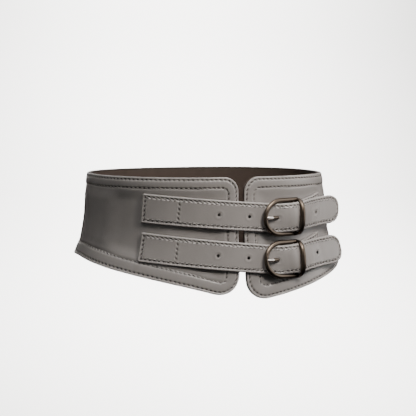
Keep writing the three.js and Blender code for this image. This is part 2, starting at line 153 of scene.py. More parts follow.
# Half the length over which a row bends at its buckle, and the steps and the end of its measured line
ROW_BEND = 0.012
MEASURING_STEP = 0.0005
MEASURED_TO = 0.126

# Lift of the straps' underside against the length from the centre front, before each row's stretch
STRAP_LIFT = (
    (-0.100, 0.0028), (-0.060, 0.0029), (-0.022, 0.00425), (0.004, 0.0043), (0.020, 0.0051),
    (0.034, 0.0060), (0.043, 0.0082), (0.0515, 0.01065), (0.058, 0.0107), (0.070, 0.0078),
    (0.080, 0.0064), (0.090, 0.0066), (0.098, 0.0084),
)
TIP_LIFT_AT = 0.122

# How much higher a strap's middle stands than its edges
STRAP_BOW = ((0.032, 0.0), (0.048, 0.0023), (0.060, 0.0023), (0.084, 0.0003), (0.130, 0.0006))

# A strap: the distance of its points along a side, and the points of half a sewn corner, of half a tip
# corner and of the tip's end. Then its sewn corners, its face's rings and the ring on its underside
STRAP_SPACING = 0.00075
STRAP_POINTS = (2, 18, 0)
STRAP_CORNER = (0.0017, 0.0017, 2.2)
STRAP_RINGS = (0.0046, 0.0040, 0.0035, 0.0031, 0.00275, 0.0024, 0.00205, 0.0017, 0.0014)
STRAP_UNDER = 0.004

# The cross row: its points, and how softly its groove ends at the long rows
CROSS_POINTS = 60
CROSS_FADE = 0.0006

# Punched holes: their distance from the prong's, the circles that make the prong's a drop, by step and
# size, and the dip and the soft ring round each, by height, distance and width
HOLES_FROM_PRONG = (-0.061, -0.0305, 0.0275, 0.055)
PRONG_HOLE = ((0.0006, 1.45), (-0.001, 1.35), (-0.0026, 1.15))
HOLE_DIP = (0.00035, 0.0, 0.0022)
HOLE_RING = (0.00012, 0.0036, 0.0012)
PUNCH_PAST = 0.003
PUNCH_STEPS = 4

# Middle line of a prong in the buckle's frame: distance before the heel bar, height over it. Its last
# two points are counted from the front bar's inner edge
PRONG_LINE = (
    (0.0025, -0.0004), (0.006, -0.0018), (0.010, -0.0026), (0.0135, -0.0023), (0.0165, -0.0009),
    (0.0195, 0.0004), (0.024, 0.0011),
)
PRONG_END = ((-0.003, 0.0014), (0.0004, 0.0013))
PRONG_STEPS = 70
PRONG_ROOM = 0.0004

# A prong's thickness: its share under the strap, what it gains where it comes up, and what its tip loses
PRONG_ROOT = 0.7
PRONG_GAIN = 0.3
PRONG_COMES_UP = (0.013, 0.018)
PRONG_TIP_LOSS = 0.12
PRONG_TIP_FROM = 0.8

# A prong's eye: steps round the bar and round its section, half its wall, half its width, its squareness
EYE_STEPS = (36, 18)
EYE_WALL = 0.0006
EYE_WIDTH = 0.002
EYE_POWER = 0.6

# The rubbed plating and its painted highlight on the prong's top: they fade out between these distances
# behind the front bar, from the second to the first, and are full this far above the bars' level
RUBBED_AND_HIGHLIGHT = (0.0082, 0.0066)
RUBBED_AND_HIGHLIGHT_RISE = 0.0008

# The buckle's frame: how far its half ring bulges, its points before and after they are spaced evenly,
# and the thickness of the arch's ends with what its middle gains
RING_BULGE = 1.2
RING_TURNS = 90
FRAME_STEPS = 130
ARCH_TURNS = 400
ARCH_STEPS = 110
ARCH_THICK = (0.85, 0.05)
BAR_STEPS = 12

# How much higher over the wrap the heel bar stands than the tab round it needs
HEEL_STAND = 0.0011

# A tab: its points, corners and rings as a strap's, with the groove between its two layers as rings of
# its edge, and its seat's height over the wrap's. Then the lengths past the heel bar where it leaves
# the buckle for the wrap, lies flat above and below, and is sewn
TAB_SPACING = 0.00085
TAB_POINTS = (2, 3, 24)
TAB_CORNERS = ((0.0004, 0.0004, 2), (0.0012, 0.0012, 2))
TAB_RINGS = (0.0042, 0.0036, 0.0031, 0.0027, 0.0023, 0.0019, 0.0015, 0.0011)
TAB_LAYERS = ((0.0002, 0.08), (0.0004, 0.0), (0.0002, -0.08))
TAB_UNDER = 0.003
TAB_SEAT = 0.00015
TAB_LEAVES = (0.004, 0.014)
TAB_FLAT_ABOVE = 0.011
TAB_FLAT_BELOW = 0.006
TAB_SEWN = (0.006, 0.010)
TAB_ROW_FROM = 0.008

# What is cut out of a tab: the bar's bore, this far past each side, and the prong's slot, as long and
# as high as these times the eye
BORE_PAST = 0.004
BORE_STEPS = 6
BORE_SIDES = 32
SLOT_REACH = (1.5, 2)

# The paper: its half width, the floor's start and height, where the sweep starts and how large it is,
# and the wall's place and top
PAPER_HALF = 6.0
PAPER_FROM = -10.0
FLOOR = -0.9
SWEEP_FROM = 2.2
SWEEP = 1.2
SWEEP_STEPS = 24
WALL_AT = 3.4
WALL_TOP = 3.2

# Soft lights: place, the point that each looks at, size, power, colour and spread in degrees
LIGHTS = {
    "key": ((0.129, -0.377, 0.329), (0.05, -0.08, 0.0), 0.17, 2.5, "#fffaf4", 180.0),
    "right fill": ((0.613, -0.286, 0.181), (0.05, -0.08, 0.0), 0.5, 2.1, "#ffffff", 180.0),
    "high left": ((-0.352, -0.295, 0.655), (-0.1, 0.0, 0.0), 0.4, 1.5, "#ffffff", 180.0),
    "overhead": ((0.0, 0.0, 1.6), (0.0, 0.001, 0.0), 2.4, 28.0, "#ffffff", 180.0),
    "backdrop light": ((1.1, 1.8, 1.5), (1.35, 3.4, -0.3), 1.0, 90.0, "#ffffff", 80.0),
    "left backdrop light": ((-3.8, 1.4, 1.5), (-3.8, 3.4, -0.1), 1.6, 160.0, "#ffffff", 100.0),
    "floor light": ((0.0, -3.0, -0.25), (0.0, -2.999, -0.9), 12.0, 1000.0, "#ffffff", 180.0),
    "back fill": ((0.3, 1.0, 0.4), (0.0, 0.09, 0.0), 0.9, 12.0, "#ffffff", 180.0),
    "front fill": ((-2.2, -2.4, 0.2), (0.0, 0.0, 0.0), 4.0, 11.0, "#ffffff", 180.0),
}

# Brightness of the white sky behind and above the paper
SKY_STRENGTH = 2.0

# The camera: its angles in degrees, its place to the right, up and back, and its lens in millimetres
AZIMUTH = -21.97
ELEVATION = 5.0
ROLL = 1.71
CAMERA_RIGHT = 0.00117
CAMERA_UP = 0.01869
CAMERA_BACK = 1.6
LENS = 138.46
SENSOR = 36.0


def smooth_step(low, high, value):
    """Rises from 0 at low to 1 at high, level at both ends: three squares less two cubes of the share."""
    share = np.clip((value - low) / (high - low), 0.0, 1.0)
    return share * share * (3.0 - 2.0 * share)


def smooth_table(table, at):
    """Curve through a table's rows that never swings past them.

    Between two rows it is a cubic whose end slopes are the harmonic mean of the rises beside each row.
    """
    places, values = np.asarray(table, float).T
    rises = np.diff(values) / np.diff(places)
    total = rises[:-1] + rises[1:]
    product = rises[:-1] * rises[1:]
    inner = np.where(product > 0, 2 * product / np.where(total == 0, 1, total), 0)
    slopes = np.concatenate((rises[:1], inner, rises[-1:]))
    at = np.clip(at, places[0], places[-1])
    row = np.clip(np.searchsorted(places, at, side="right") - 1, 0, len(places) - 2)
    span = places[row + 1] - places[row]
    share = (at - places[row]) / span
    ease = share * share * (3 - 2 * share)
    lead = share * (1 - share) ** 2 * slopes[row] * span
    trail = share * share * (share - 1) * slopes[row + 1] * span
    return values[row] + (values[row + 1] - values[row]) * ease + lead + trail


def signed_power(value, power):
    """A power of the value's size, with the value's sign."""
    return np.sign(value) * np.abs(value) ** power


def unit(vectors):
    """Vectors of length one along the last axis."""
    return vectors / np.linalg.norm(vectors, axis=-1, keepdims=True)


def bump_at(value, middle, width):
    """A bell curve: 1 at the middle, falling with the square of the distance over the width."""
    return np.exp(-(((value - middle) / width) ** 2))


def run_along(path):
    """Run along a path to each of its points: the sum of the gaps before it."""
    gaps = np.linalg.norm(np.diff(path, axis=0), axis=1)
    return np.concatenate(([0.0], np.cumsum(gaps)))


class WaistForm:
    """The wearer's waist: a rounded oval that flares towards the hips."""

    def __init__(self, sizes):
        self.half_width = sizes.half_width
        self.half_depth = sizes.half_depth
        self.power = sizes.oval_power
        self.lean = sizes.lean
        self.turns = np.linspace(0.0, math.pi, ARC_STEPS + 1)
        line = self.oval_point(self.turns, np.zeros(ARC_STEPS + 1), 0.0)
        self.arc = run_along(line)
        self.half = self.arc[-1]

    def oval_point(self, angle, height, lift):
        """Point at an angle from the front.

        The oval is a superellipse, its half width and half depth grow as powers of the drop below
        the middle, and the lift goes level along the oval's normal.
        """
        step = -height / FLARE_STEP
        width = self.half_width + sum(rate * step ** (i + 1) for i, rate in enumerate(SIDE_FLARE))
        depth = self.half_depth + sum(rate * step ** (i + 1) for i, rate in enumerate(FRONT_FLARE))
        power = 2.0 / self.power
        side, ahead = np.sin(angle), np.cos(angle)
        normal_x = signed_power(side, 2.0 - power) / width
        normal_y = -signed_power(ahead, 2.0 - power) / depth
        size = np.hypot(normal_x, normal_y)
        x = width * signed_power(side, power) + lift * normal_x / size + self.lean * height
        y = -depth * signed_power(ahead, power) + lift * normal_y / size
        return np.stack(np.broadcast_arrays(x, y, height), axis=-1)

    def point(self, length, height, lift):
        """Point of the belt: length along the waist from the centre front, height, lift off the waist."""
        angle = np.sign(length) * np.interp(np.abs(length), self.arc, self.turns)
        return self.oval_point(angle, height, lift)


class WrapPlan:
    """The wrap laid flat: distance from the centre back, height."""

    def __init__(self, waist, wrap, spacing):
        self.waist = waist
        self.wrap = wrap
        self.end = waist.half - wrap.front_gap / 2
        self.edge_points = 2 * round(self.end / spacing)
        self.end_points = round(END_SPAN / spacing)
        self.corner_points = 2 * round(CORNER_SPAN / spacing)
        self.along = self.edge_points + self.corner_points
        self.across = self.end_points + self.corner_points

    def length(self, distance):
        """Length from the centre front of a distance from the centre back."""
        return np.where(distance >= 0, self.waist.half, -self.waist.half) - distance

    def edge(self, distance, top):
        """Height of the top or bottom edge: slow waves round the waist, and a drop to the front."""
        length = self.length(distance)
        wrap = self.wrap
        if top:
            turn = math.pi * length / self.waist.half
            return wrap.top_height + wrap.top_rise * np.cos(turn) + wrap.top_askew * np.sin(turn)
        share = np.clip(1.0 - np.abs(length) / wrap.drop_reach, 0.0, None)
        drop = wrap.drop * share ** wrap.drop_power + wrap.drop_askew * length * share ** 3
        return wrap.bottom_height - drop

    def loop(self, inset, round_corner=None):
        """Outline moved inwards: two edges, two front ends and four quarter-ellipse corners.

        It starts in the middle of a corner, so that the sides from corner to corner face each other.
        """
        end = self.end - inset
        parts = []
        for top, side in ((True, 1), (False, -1)):
            inwards = -1 if top else 1
            corner = self.corner(top, side, inset, round_corner)
            before = self.corner(top, -side, inset, round_corner)
            foot = self.corner(not top, side, inset, round_corner)
            start, stop = -side * (end - before[0]), side * (end - corner[0])
            distance = np.linspace(start, stop, self.edge_points, endpoint=False)
            parts.append((distance, self.edge(distance, top) + inwards * inset))
            turn = np.linspace(0.0, math.pi / 2, self.corner_points, endpoint=False)
            distance = side * (end - corner[0] * (1 - np.sin(turn)))
            height = self.edge(distance, top) + inwards * (inset + corner[1] * (1 - np.cos(turn)))
            parts.append((distance, height))
            start = self.edge(side * end, top) + inwards * (inset + corner[1])
            stop = self.edge(side * end, not top) - inwards * (inset + foot[1])
            height = np.linspace(start, stop, self.end_points, endpoint=False)
            parts.append((np.full(self.end_points, side * end), height))
            turn = turn[::-1] + math.pi / 2 / self.corner_points
            distance = side * (end - foot[0] * (1 - np.sin(turn)))
            height = self.edge(distance, not top) - inwards * (inset + foot[1] * (1 - np.cos(turn)))
            parts.append((distance, height))
        plan = np.concatenate([np.stack(part, axis=-1) for part in parts])
        return np.roll(plan, self.corner_points // 2, axis=0)

    def corner(self, top, side, inset, round_corner):
        """Reach and rise of a corner, smaller by the inset, or the round corner that is asked for."""
        if round_corner:
            return (round_corner, round_corner)
        reach, rise = TOP_CORNER if top else (LEFT_FOOT if side > 0 else RIGHT_FOOT)
        return (reach - inset, rise - inset)

    def depth(self, plan):
        """Distance of a place from the nearest edge, smoothly rounded where two edges are near.

        It is less the logarithm of the sum of the falling exponentials of the three distances.
        """
        distance, height = plan[..., 0], plan[..., 1]
        above, below = self.edge(distance, True) - height, height - self.edge(distance, False)
        gaps = (above, below, self.end - np.abs(distance))
        return -CORNER_BLEND * np.log(sum(np.exp(-gap / CORNER_BLEND) for gap in gaps))

    def place(self, plan, lift):
        """Point in space of a place on the flat wrap."""
        return self.waist.point(self.length(plan[..., 0]), plan[..., 1], lift)


class StrapRow:
    """One row: its strap, its buckle and the tab that holds the buckle."""

    def __init__(self, row, waist, strap, buckle, tab, levels):
        self.row, self.waist, self.strap, self.buckle, self.tab = row, waist, strap, buckle, tab
        self.levels = levels
        self.stretch = row["stretch"]
        self.heel_at = buckle.heel_at * self.stretch
        self.lengths = np.arange(row["strap_from"], MEASURED_TO * self.stretch, MEASURING_STEP)
        middle = self.strap_point(self.lengths, np.zeros(len(self.lengths)), 0.0)
        self.distances = run_along(middle)
        hole_at = row["prong_hole_at"] * self.stretch
        self.prong_hole = float(np.interp(hole_at, self.lengths, self.distances))
        self.holes = [self.prong_hole + step for step in HOLES_FROM_PRONG]
        self.total = max(self.holes) + strap.tip_past_hole
        self.set_buckle_frame()

    def height(self, length):
        """Middle line of the strap: it falls to the buckle, rises past it, and bends softly between."""
        row = self.row
        turn = (self.buckle.front_at + self.buckle.heel_at) / 2 * self.stretch
        left = row["height"] + row["strap_slope"] * length
        right = row["height"] + row["strap_slope"] * turn + row["tip_slope"] * (length - turn)
        share = smooth_step(turn - ROW_BEND, turn + ROW_BEND, length)
        return left * (1 - share) + right * share

    def tab_height(self, length):
        """Middle line of the tab: a straight rise from the heel bar."""
        start = self.height(self.heel_at) - self.row["frame_drop"]
        return start + self.row["tab_slope"] * (length - self.heel_at)

    def beside(self, length, across, lift_at, height_at):
        """Point beside a middle line, square to it and truly that far off it, found in a few passes."""
        def at(place, side):
            return self.waist.point(place, height_at(place) + side, lift_at(place))

        length = np.asarray(length, float)
        middle = at(length, 0.0)
        along = unit(at(length + MM, 0.0) - at(length - MM, 0.0))
        place, side = length, np.asarray(across, float)
        for _ in range(SQUARING_PASSES):
            gap = at(place, side) - middle
            size = np.linalg.norm(gap, axis=-1)
            place = place - np.sum(gap * along, axis=-1)
            grow = np.where(np.abs(across) > 1e-7, np.abs(across) / np.maximum(size, 1e-9), 1.0)
            side = side * grow
        return at(place, side)

    def strap_point(self, length, across, lift):
        """Point of the strap: length along the waist, distance off its middle, lift off its underside."""
        table = STRAP_LIFT + ((TIP_LIFT_AT, self.row["tip_lift"]),)
        arch = 1 - (2 * np.asarray(across) / self.strap.width) ** 2
        bow = smooth_table(STRAP_BOW, np.asarray(length) / self.stretch) * arch

        def lift_at(place):
            return smooth_table(table, place / self.stretch) + bow + lift

        return self.beside(length, across, lift_at, self.height)

    def on_strap(self, plan, lift):
        """Point of the strap by its own length from the sewn end, and its distance off the middle line."""
        length = np.interp(plan[..., 0], self.distances, self.lengths)
        return self.strap_point(length, plan[..., 1], lift)

    def set_buckle_frame(self):
        """The buckle's own frame: from the heel bar, x towards the tip, y up along the bar, z outwards."""
        def at(length, across, level):
            return self.beside(length, across, lambda place: level, self.height)

        heel = at(self.heel_at, 0.0, self.levels["heel"])
        front = at(self.buckle.front_at * self.stretch, 0.0, self.buckle.front_lift)
        self.frame_length = float(np.linalg.norm(heel - front))
        self.along = unit(heel - front)
        half = self.tab.width / 2
        up = unit(at(self.heel_at, half, self.levels["heel"]) - at(self.heel_at, -half, self.levels["heel"]))
        self.out = unit(np.cross(self.along, up))
        self.side = np.cross(self.out, self.along)
        self.heel = heel - self.side * self.row["frame_drop"]

    def in_buckle(self, points):
        """Points of the buckle's own frame, in space."""
        return self.heel + points @ np.stack((self.along, self.side, self.out))

    def on_tab(self, plan, level):
        """Point of the tab: distance past the heel bar, distance off its middle, level over the bar.

        Near the bar it follows the buckle and further on the wrap, with a soft change between them.
        """
        distance, across = plan[..., 0], plan[..., 1]
        near = self.in_buckle(np.stack(np.broadcast_arrays(distance, across, level), axis=-1))
        lift = self.levels["heel"] + level
        far = self.beside(self.heel_at + distance * self.stretch, across, lambda place: lift, self.tab_height)
        share = smooth_step(*TAB_LEAVES, distance)[..., None]
        return near * (1 - share) + far * share


def oblong(start, stop, half, left, right, counts):
    """Gives a function for the loop of an oblong at an inset, and the points along it and across it.

    A corner is a quarter of a superellipse with a reach, a rise and a power. The loop starts in the
    middle of the first corner. Counts are the points of a side, of half a left corner, of half a
    right corner and of the right end.
    """
    side_points, left_points, right_points, right_end = counts
    left_end = right_end + 2 * (right_points - left_points)
    middle, quarter = math.pi / 4, math.pi / 2

    def loop(inset):
        low, high, wide = start + inset, stop - inset, half - inset
        left_reach, left_rise = (max(size - inset, SMALLEST_CORNER) for size in left[:2])
        right_reach, right_rise = (max(size - inset, SMALLEST_CORNER) for size in right[:2])
        parts = []

        def corner(turn_x, turn_y, begin, end):
            if turn_x < 0:
                x, reach, rise, power, points = low, left_reach, left_rise, 2 / left[2], left_points
            else:
                x, reach, rise, power, points = high, right_reach, right_rise, 2 / right[2], right_points
            turn = np.linspace(begin, end, points, endpoint=False)
            along = x - turn_x * reach + turn_x * reach * np.abs(np.cos(turn)) ** power
            across = turn_y * wide - turn_y * rise + turn_y * rise * np.abs(np.sin(turn)) ** power
            parts.append(np.stack((along, across), axis=-1))

        def straight(x0, y0, x1, y1, points):
            share = np.linspace(0.0, 1.0, points, endpoint=False)[:, None]
            parts.append(np.array([x0, y0]) * (1 - share) + np.array([x1, y1]) * share)

        corner(-1, -1, middle, quarter)
        straight(low + left_reach, -wide, high - right_reach, -wide, side_points)
        corner(1, -1, quarter, middle)
        corner(1, -1, middle, 0.0)
        straight(high, -wide + right_rise, high, wide - right_rise, right_end)
        corner(1, 1, 0.0, middle)
        corner(1, 1, middle, quarter)
        straight(high - right_reach, wide, low + left_reach, wide, side_points)
        corner(-1, 1, quarter, middle)
        corner(-1, 1, middle, 0.0)
        straight(low, wide - left_rise, low, -wide + left_rise, left_end)
        corner(-1, -1, 0.0, middle)
        return np.concatenate(parts)

    return loop, side_points + left_points + right_points, right_end + 2 * right_points


def patch(loop, along, across):
    """Fills a loop with four sides: a Coons patch.

    It is both pairs of opposite sides, blended, less the blend of the four corners.
    """
    first = loop[: along + 1]
    second = loop[along : along + across + 1]
    third = loop[along + across : 2 * along + across + 1][::-1]
    fourth = np.concatenate((loop[2 * along + across :], loop[:1]))[::-1]
    u = np.linspace(0.0, 1.0, along + 1)[:, None, None]
    v = np.linspace(0.0, 1.0, across + 1)[None, :, None]
    sides = (1 - v) * first[:, None] + v * third[:, None] + (1 - u) * fourth[None] + u * second[None]
    corners = (1 - u) * ((1 - v) * first[0] + v * third[0]) + u * ((1 - v) * first[-1] + v * third[-1])
    return sides - corners


def grid_faces(index, close_rows=False, close_columns=False):
    """Four-sided faces between neighbours in a grid of vertex numbers."""
    if close_rows:
        index = np.concatenate((index, index[:1]), axis=0)
    if close_columns:
        index = np.concatenate((index, index[:, :1]), axis=1)
    return np.stack((index[:-1, :-1], index[1:, :-1], index[1:, 1:], index[:-1, 1:]), axis=-1).reshape(-1, 4)


class Slab:
    """A flat closed body: rings from its top's inner ring round its edge to its underside, and two patches.

    The profile lists each ring's inset from the outline and its share of the thickness, from -1 to 1.
    """

    def __init__(self, loop, along, across, profile):
        insets, shares = np.asarray(profile, float).T
        rings = np.stack([loop(inset) for inset in insets])
        ring_count, points = rings.shape[:2]
        top = patch(rings[0], along, across)[1:-1, 1:-1].reshape(-1, 2)
        under = patch(rings[-1], along, across)[1:-1, 1:-1].reshape(-1, 2)
        inner = len(top)
        self.plan = np.concatenate((rings.reshape(-1, 2), top, under))
        # A point of a patch takes the inset and the share of the ring round it
        self.inset, self.share = (
            np.concatenate((np.repeat(ring_values, points), np.repeat(ring_values[[0, -1]], inner)))
            for ring_values in (insets, shares)
        )
        self.station = np.concatenate((np.tile(np.arange(points), ring_count), np.zeros(2 * inner, int)))
        self.on_ring = np.arange(len(self.plan)) < ring_count * points
        numbers = np.arange(ring_count * points).reshape(ring_count, points)
        top_faces = self.patch_faces(numbers[0], along, across, ring_count * points)
        under_faces = self.patch_faces(numbers[-1], along, across, ring_count * points + inner)[:, ::-1]
        edge_faces = grid_faces(numbers, close_columns=True)
        self.faces = np.concatenate((top_faces, edge_faces[:, ::-1], under_faces)).tolist()
        self.part = np.repeat((0, 1, 2), (len(top_faces), len(edge_faces), len(under_faces)))

    def patch_faces(self, ring, along, across, first):
        """Faces of a patch whose rim is a ring and whose inner vertices are numbered from first."""
        index = np.empty((along + 1, across + 1), int)
        index[1:-1, 1:-1] = first + np.arange((along - 1) * (across - 1)).reshape(along - 1, across - 1)
        index[:, 0] = ring[: along + 1]
        index[-1, :] = ring[along : along + across + 1]
        index[::-1, -1] = ring[along + across : 2 * along + across + 1]
        index[0, ::-1] = np.append(ring[2 * along + across :], ring[0])
        return grid_faces(index)


def edge_profile(depth, power, steps):
    """Rounded edge from the top to the underside: half a superellipse, as inset and share of thickness."""
    turn = np.linspace(math.pi / 2, -math.pi / 2, steps)
    inset = depth * (1 - np.abs(np.cos(turn)) ** (2 / power))
    return np.stack((inset, signed_power(np.sin(turn), 2 / power)), axis=-1)


def tube_faces(rings, sides):
    """Faces of a tube of rings, and a fan round each of the two poles numbered after its points."""
    numbers = np.arange(rings * sides).reshape(rings, sides)
    following = np.roll(numbers, -1, axis=1)
    first = np.stack((np.full(sides, numbers.size), numbers[0], following[0]), axis=-1)
    last = np.stack((np.full(sides, numbers.size + 1), following[-1], numbers[-1]), axis=-1)
    return grid_faces(numbers, close_columns=True), np.concatenate((first, last))


def rod(path, flat, radius, sides, widen=1.0):
    """Rod along a path in a plane: rings square to the path, and round caps that end in a point.

    A point of a ring is the path, plus the widened radius along the plane's normal by the cosine of
    its turn, plus the radius along the second direction by the sine.
    """
    path = np.asarray(path, float)
    radius, widen = (np.broadcast_to(np.asarray(part, float), (len(path),)) for part in (radius, widen))
    tangent = unit(np.gradient(path, axis=0))
    turns = np.linspace(0.0, math.pi / 2, CAP_STEPS + 1)[1:-1]

    def with_caps(values):
        first, last = (np.repeat(end, len(turns), 0) for end in (values[:1], values[-1:]))
        return np.concatenate((first, values, last))

    before = path[0] - tangent[0] * radius[0] * np.sin(turns[::-1])[:, None]
    after = path[-1] + tangent[-1] * radius[-1] * np.sin(turns)[:, None]
    middle = np.concatenate((before, path, after))
    sizes = np.concatenate((radius[0] * np.cos(turns[::-1]), radius, radius[-1] * np.cos(turns)))
    flat_sizes, directions = sizes * with_caps(widen), with_caps(tangent)
    flat = np.broadcast_to(np.asarray(flat, float), directions.shape)
    second = unit(np.cross(directions, flat))
    angle = np.linspace(0.0, 2 * math.pi, sides, endpoint=False)[None, :, None]
    rings = middle[:, None] + flat_sizes[:, None, None] * flat[:, None] * np.cos(angle)
    rings = rings + sizes[:, None, None] * second[:, None] * np.sin(angle)
    poles = np.stack((path[0] - tangent[0] * radius[0], path[-1] + tangent[-1] * radius[-1]))
    quads, fans = tube_faces(len(middle), sides)
    return np.concatenate((rings.reshape(-1, 3), poles)), quads.tolist() + fans.tolist()


def evenly(path, count):
    """The same path with its points an even distance apart."""
    path = np.asarray(path, float)
    run = run_along(path)
    at = np.linspace(0.0, run[-1], count)
    return np.stack([np.interp(at, run, path[:, i]) for i in range(path.shape[1])], axis=-1)


def outwards(points, faces):
    """Faces turned so that the closed body's volume, the sum of its corner products, is above zero."""
    corners = [face[:3] for face in faces] + [[face[0]] + face[2:] for face in faces if len(face) == 4]
    a, b, c = (points[np.array(corners)[:, i]] for i in range(3))
    volume = np.sum(a * np.cross(b, c))
    return faces if volume > 0 else [face[::-1] for face in faces]


def joined(bodies):
    """Several bodies, each points and faces, as one."""
    points, faces, first = [], [], 0
    for body_points, body_faces in bodies:
        points.append(body_points)
        faces.extend([[v + first for v in face] for face in outwards(body_points, body_faces)])
        first += len(body_points)
    return np.concatenate(points), faces


class Seam:
    """A row of stitches along a line on leather, with the directions inwards and out of the leather."""

    def __init__(self, place, line, beside, level, stitch, closed=True, kept=None):
        """Takes a flat line, the line a step inwards, and the function that puts them at a level.

        The way inwards and the way out are differences of places, made one long.
        """
        middle = place(line, level)
        inwards = unit(place(beside, level) - middle)
        out = unit(place(line, level + MM) - middle)
        if closed:
            middle, inwards, out = (np.concatenate((part, part[:1])) for part in (middle, inwards, out))
        self.line, self.inwards, self.out, self.stitch = middle, inwards, out, stitch
        self.run = run_along(middle)
        self.count = max(1, round(self.run[-1] / stitch.pitch))
        self.pitch = self.run[-1] / self.count
        self.kept = np.ones(len(middle)) if kept is None else np.append(kept, kept[0])

    def marks(self, stations, side, along_only=False):
        """How near a place is to a needle hole, from 0 to 1, by its station and its distance inwards.

        A hole is a leaning bell: the run is shifted by the lean times the side before the distance to
        the nearest hole is taken.
        """
        stitch = self.stitch
        off = (self.run[stations] + stitch.lean * side) / self.pitch
        off = np.abs(off - np.round(off)) * self.pitch
        near = bump_at(off, 0.0, stitch.hole_reach) * self.kept[stations]
        return near if along_only else near * bump_at(side, 0.0, stitch.hole_width)

    def at(self, run, values):
        """Values of the line at a run along it."""
        return np.stack([np.interp(run, self.run, values[:, i]) for i in range(3)], axis=-1)

    def threads(self):
        """Each stitch is a slanted capsule: its middle stands proud and its ends dive into the holes."""
        stitch = self.stitch
        share, size = np.array(STITCH_RINGS), np.array(STITCH_SIZES)
        middles = (np.arange(self.count) + 0.5) * self.pitch
        middles = middles[np.interp(middles, self.run, self.kept) > 0.5]
        half = self.pitch / 2 - stitch.gap / 2

        def place(shares, sizes, turn):
            run = middles[:, None] + half * shares[None, :]
            centre, inwards, out = (self.at(run, part) for part in (self.line, self.inwards, self.out))
            radius = stitch.thread / 2 * sizes
            height = stitch.rise - stitch.dive * shares ** 4
            side = radius * np.cos(turn) - stitch.slant * shares
            up = height + radius * np.sin(turn)
            return centre + inwards * side[None, :, None] + out * up[None, :, None]

        turns = np.linspace(0.0, 2 * math.pi, THREAD_SIDES, endpoint=False)
        rings = np.stack([place(share, size, turn) for turn in turns], axis=2)
        poles = place(np.array([-1.0, 1.0]), np.zeros(2), 0.0)
        points = np.concatenate((rings.reshape(len(middles), -1, 3), poles), axis=1)
        firsts = (np.arange(len(middles)) * points.shape[1])[:, None, None]
        faces = []
        for one in tube_faces(len(share), THREAD_SIDES):
            faces += (one[None] + firsts).reshape(-1, one.shape[1]).tolist()
        return points.reshape(-1, 3), faces


def relief_beside(seam, stations, side, stitch):
    """Height of the leather near a row, the painted shade in its holes, and the stretch of the coat beside it
    that also paints a highlight.

    Height: less a bell for the groove, less the needle holes, plus a bell on each side that swells
    between the holes. The stretched coat with its painted highlight is the share of those two swellings.
    """
    holes = seam.marks(stations, side)
    between = 1.0 - SWELL_LOST_AT_HOLE * seam.marks(stations, side, along_only=True)
    inner, outer = (bump_at(side, at, stitch.puff_width) for at in (stitch.puff_at, -stitch.puff_at))
    swell = between * (inner + outer)
    groove = stitch.groove * bump_at(side, 0.0, stitch.groove_width)
    return stitch.puff * swell - groove - stitch.hole_depth * holes, holes, swell


def slab_relief(slab, seam, inset, stitch):
    """The same for a whole slab with one row at an inset: its patches take a share of the swelling."""
    side = slab.inset - inset
    relief, hole_shades, pull_and_highlight = relief_beside(seam, slab.station, side, stitch)
    inner = bump_at(side, stitch.puff_at, stitch.puff_width)
    relief = np.where(slab.on_ring, relief, stitch.puff * SWELL_ON_PATCH * inner)
    return relief, hole_shades * slab.on_ring, np.where(slab.on_ring, pull_and_highlight, SWELL_ON_PATCH * inner)


def rim_pull_and_highlight(inset, share, rim):
    """Stretch of the coat over a rounded rim, painted lighter as a highlight: a bell over the inset, above a
    share of the thickness.
    """
    middle, width, lowest = rim
    return bump_at(inset, middle, width) * (share > lowest)


def linear(colour):
    """An sRGB hex colour as linear numbers."""
    parts = [int(colour[i : i + 2], 16) / 255 for i in (1, 3, 5)]
    return tuple(p / 12.92 if p <= 0.04045 else ((p + 0.055) / 1.055) ** 2.4 for p in parts) + (1.0,)


def add(tree, kind, inputs=(), **settings):
    """Adds a node with its settings, and its inputs as values or as the sockets that feed them."""
    node = tree.nodes.new(kind)
    for name, value in settings.items():
        setattr(node, name, value)
    for socket, value in dict(inputs).items():
        if isinstance(value, bpy.types.NodeSocket):
            tree.links.new(value, node.inputs[socket])
        else:
            node.inputs[socket].default_value = value
    return node


def toned(colour, share=1.0):
    """A colour made lighter or darker by a share, with its alpha."""
    return [min(part * share, 1.0) for part in colour] + [1.0]


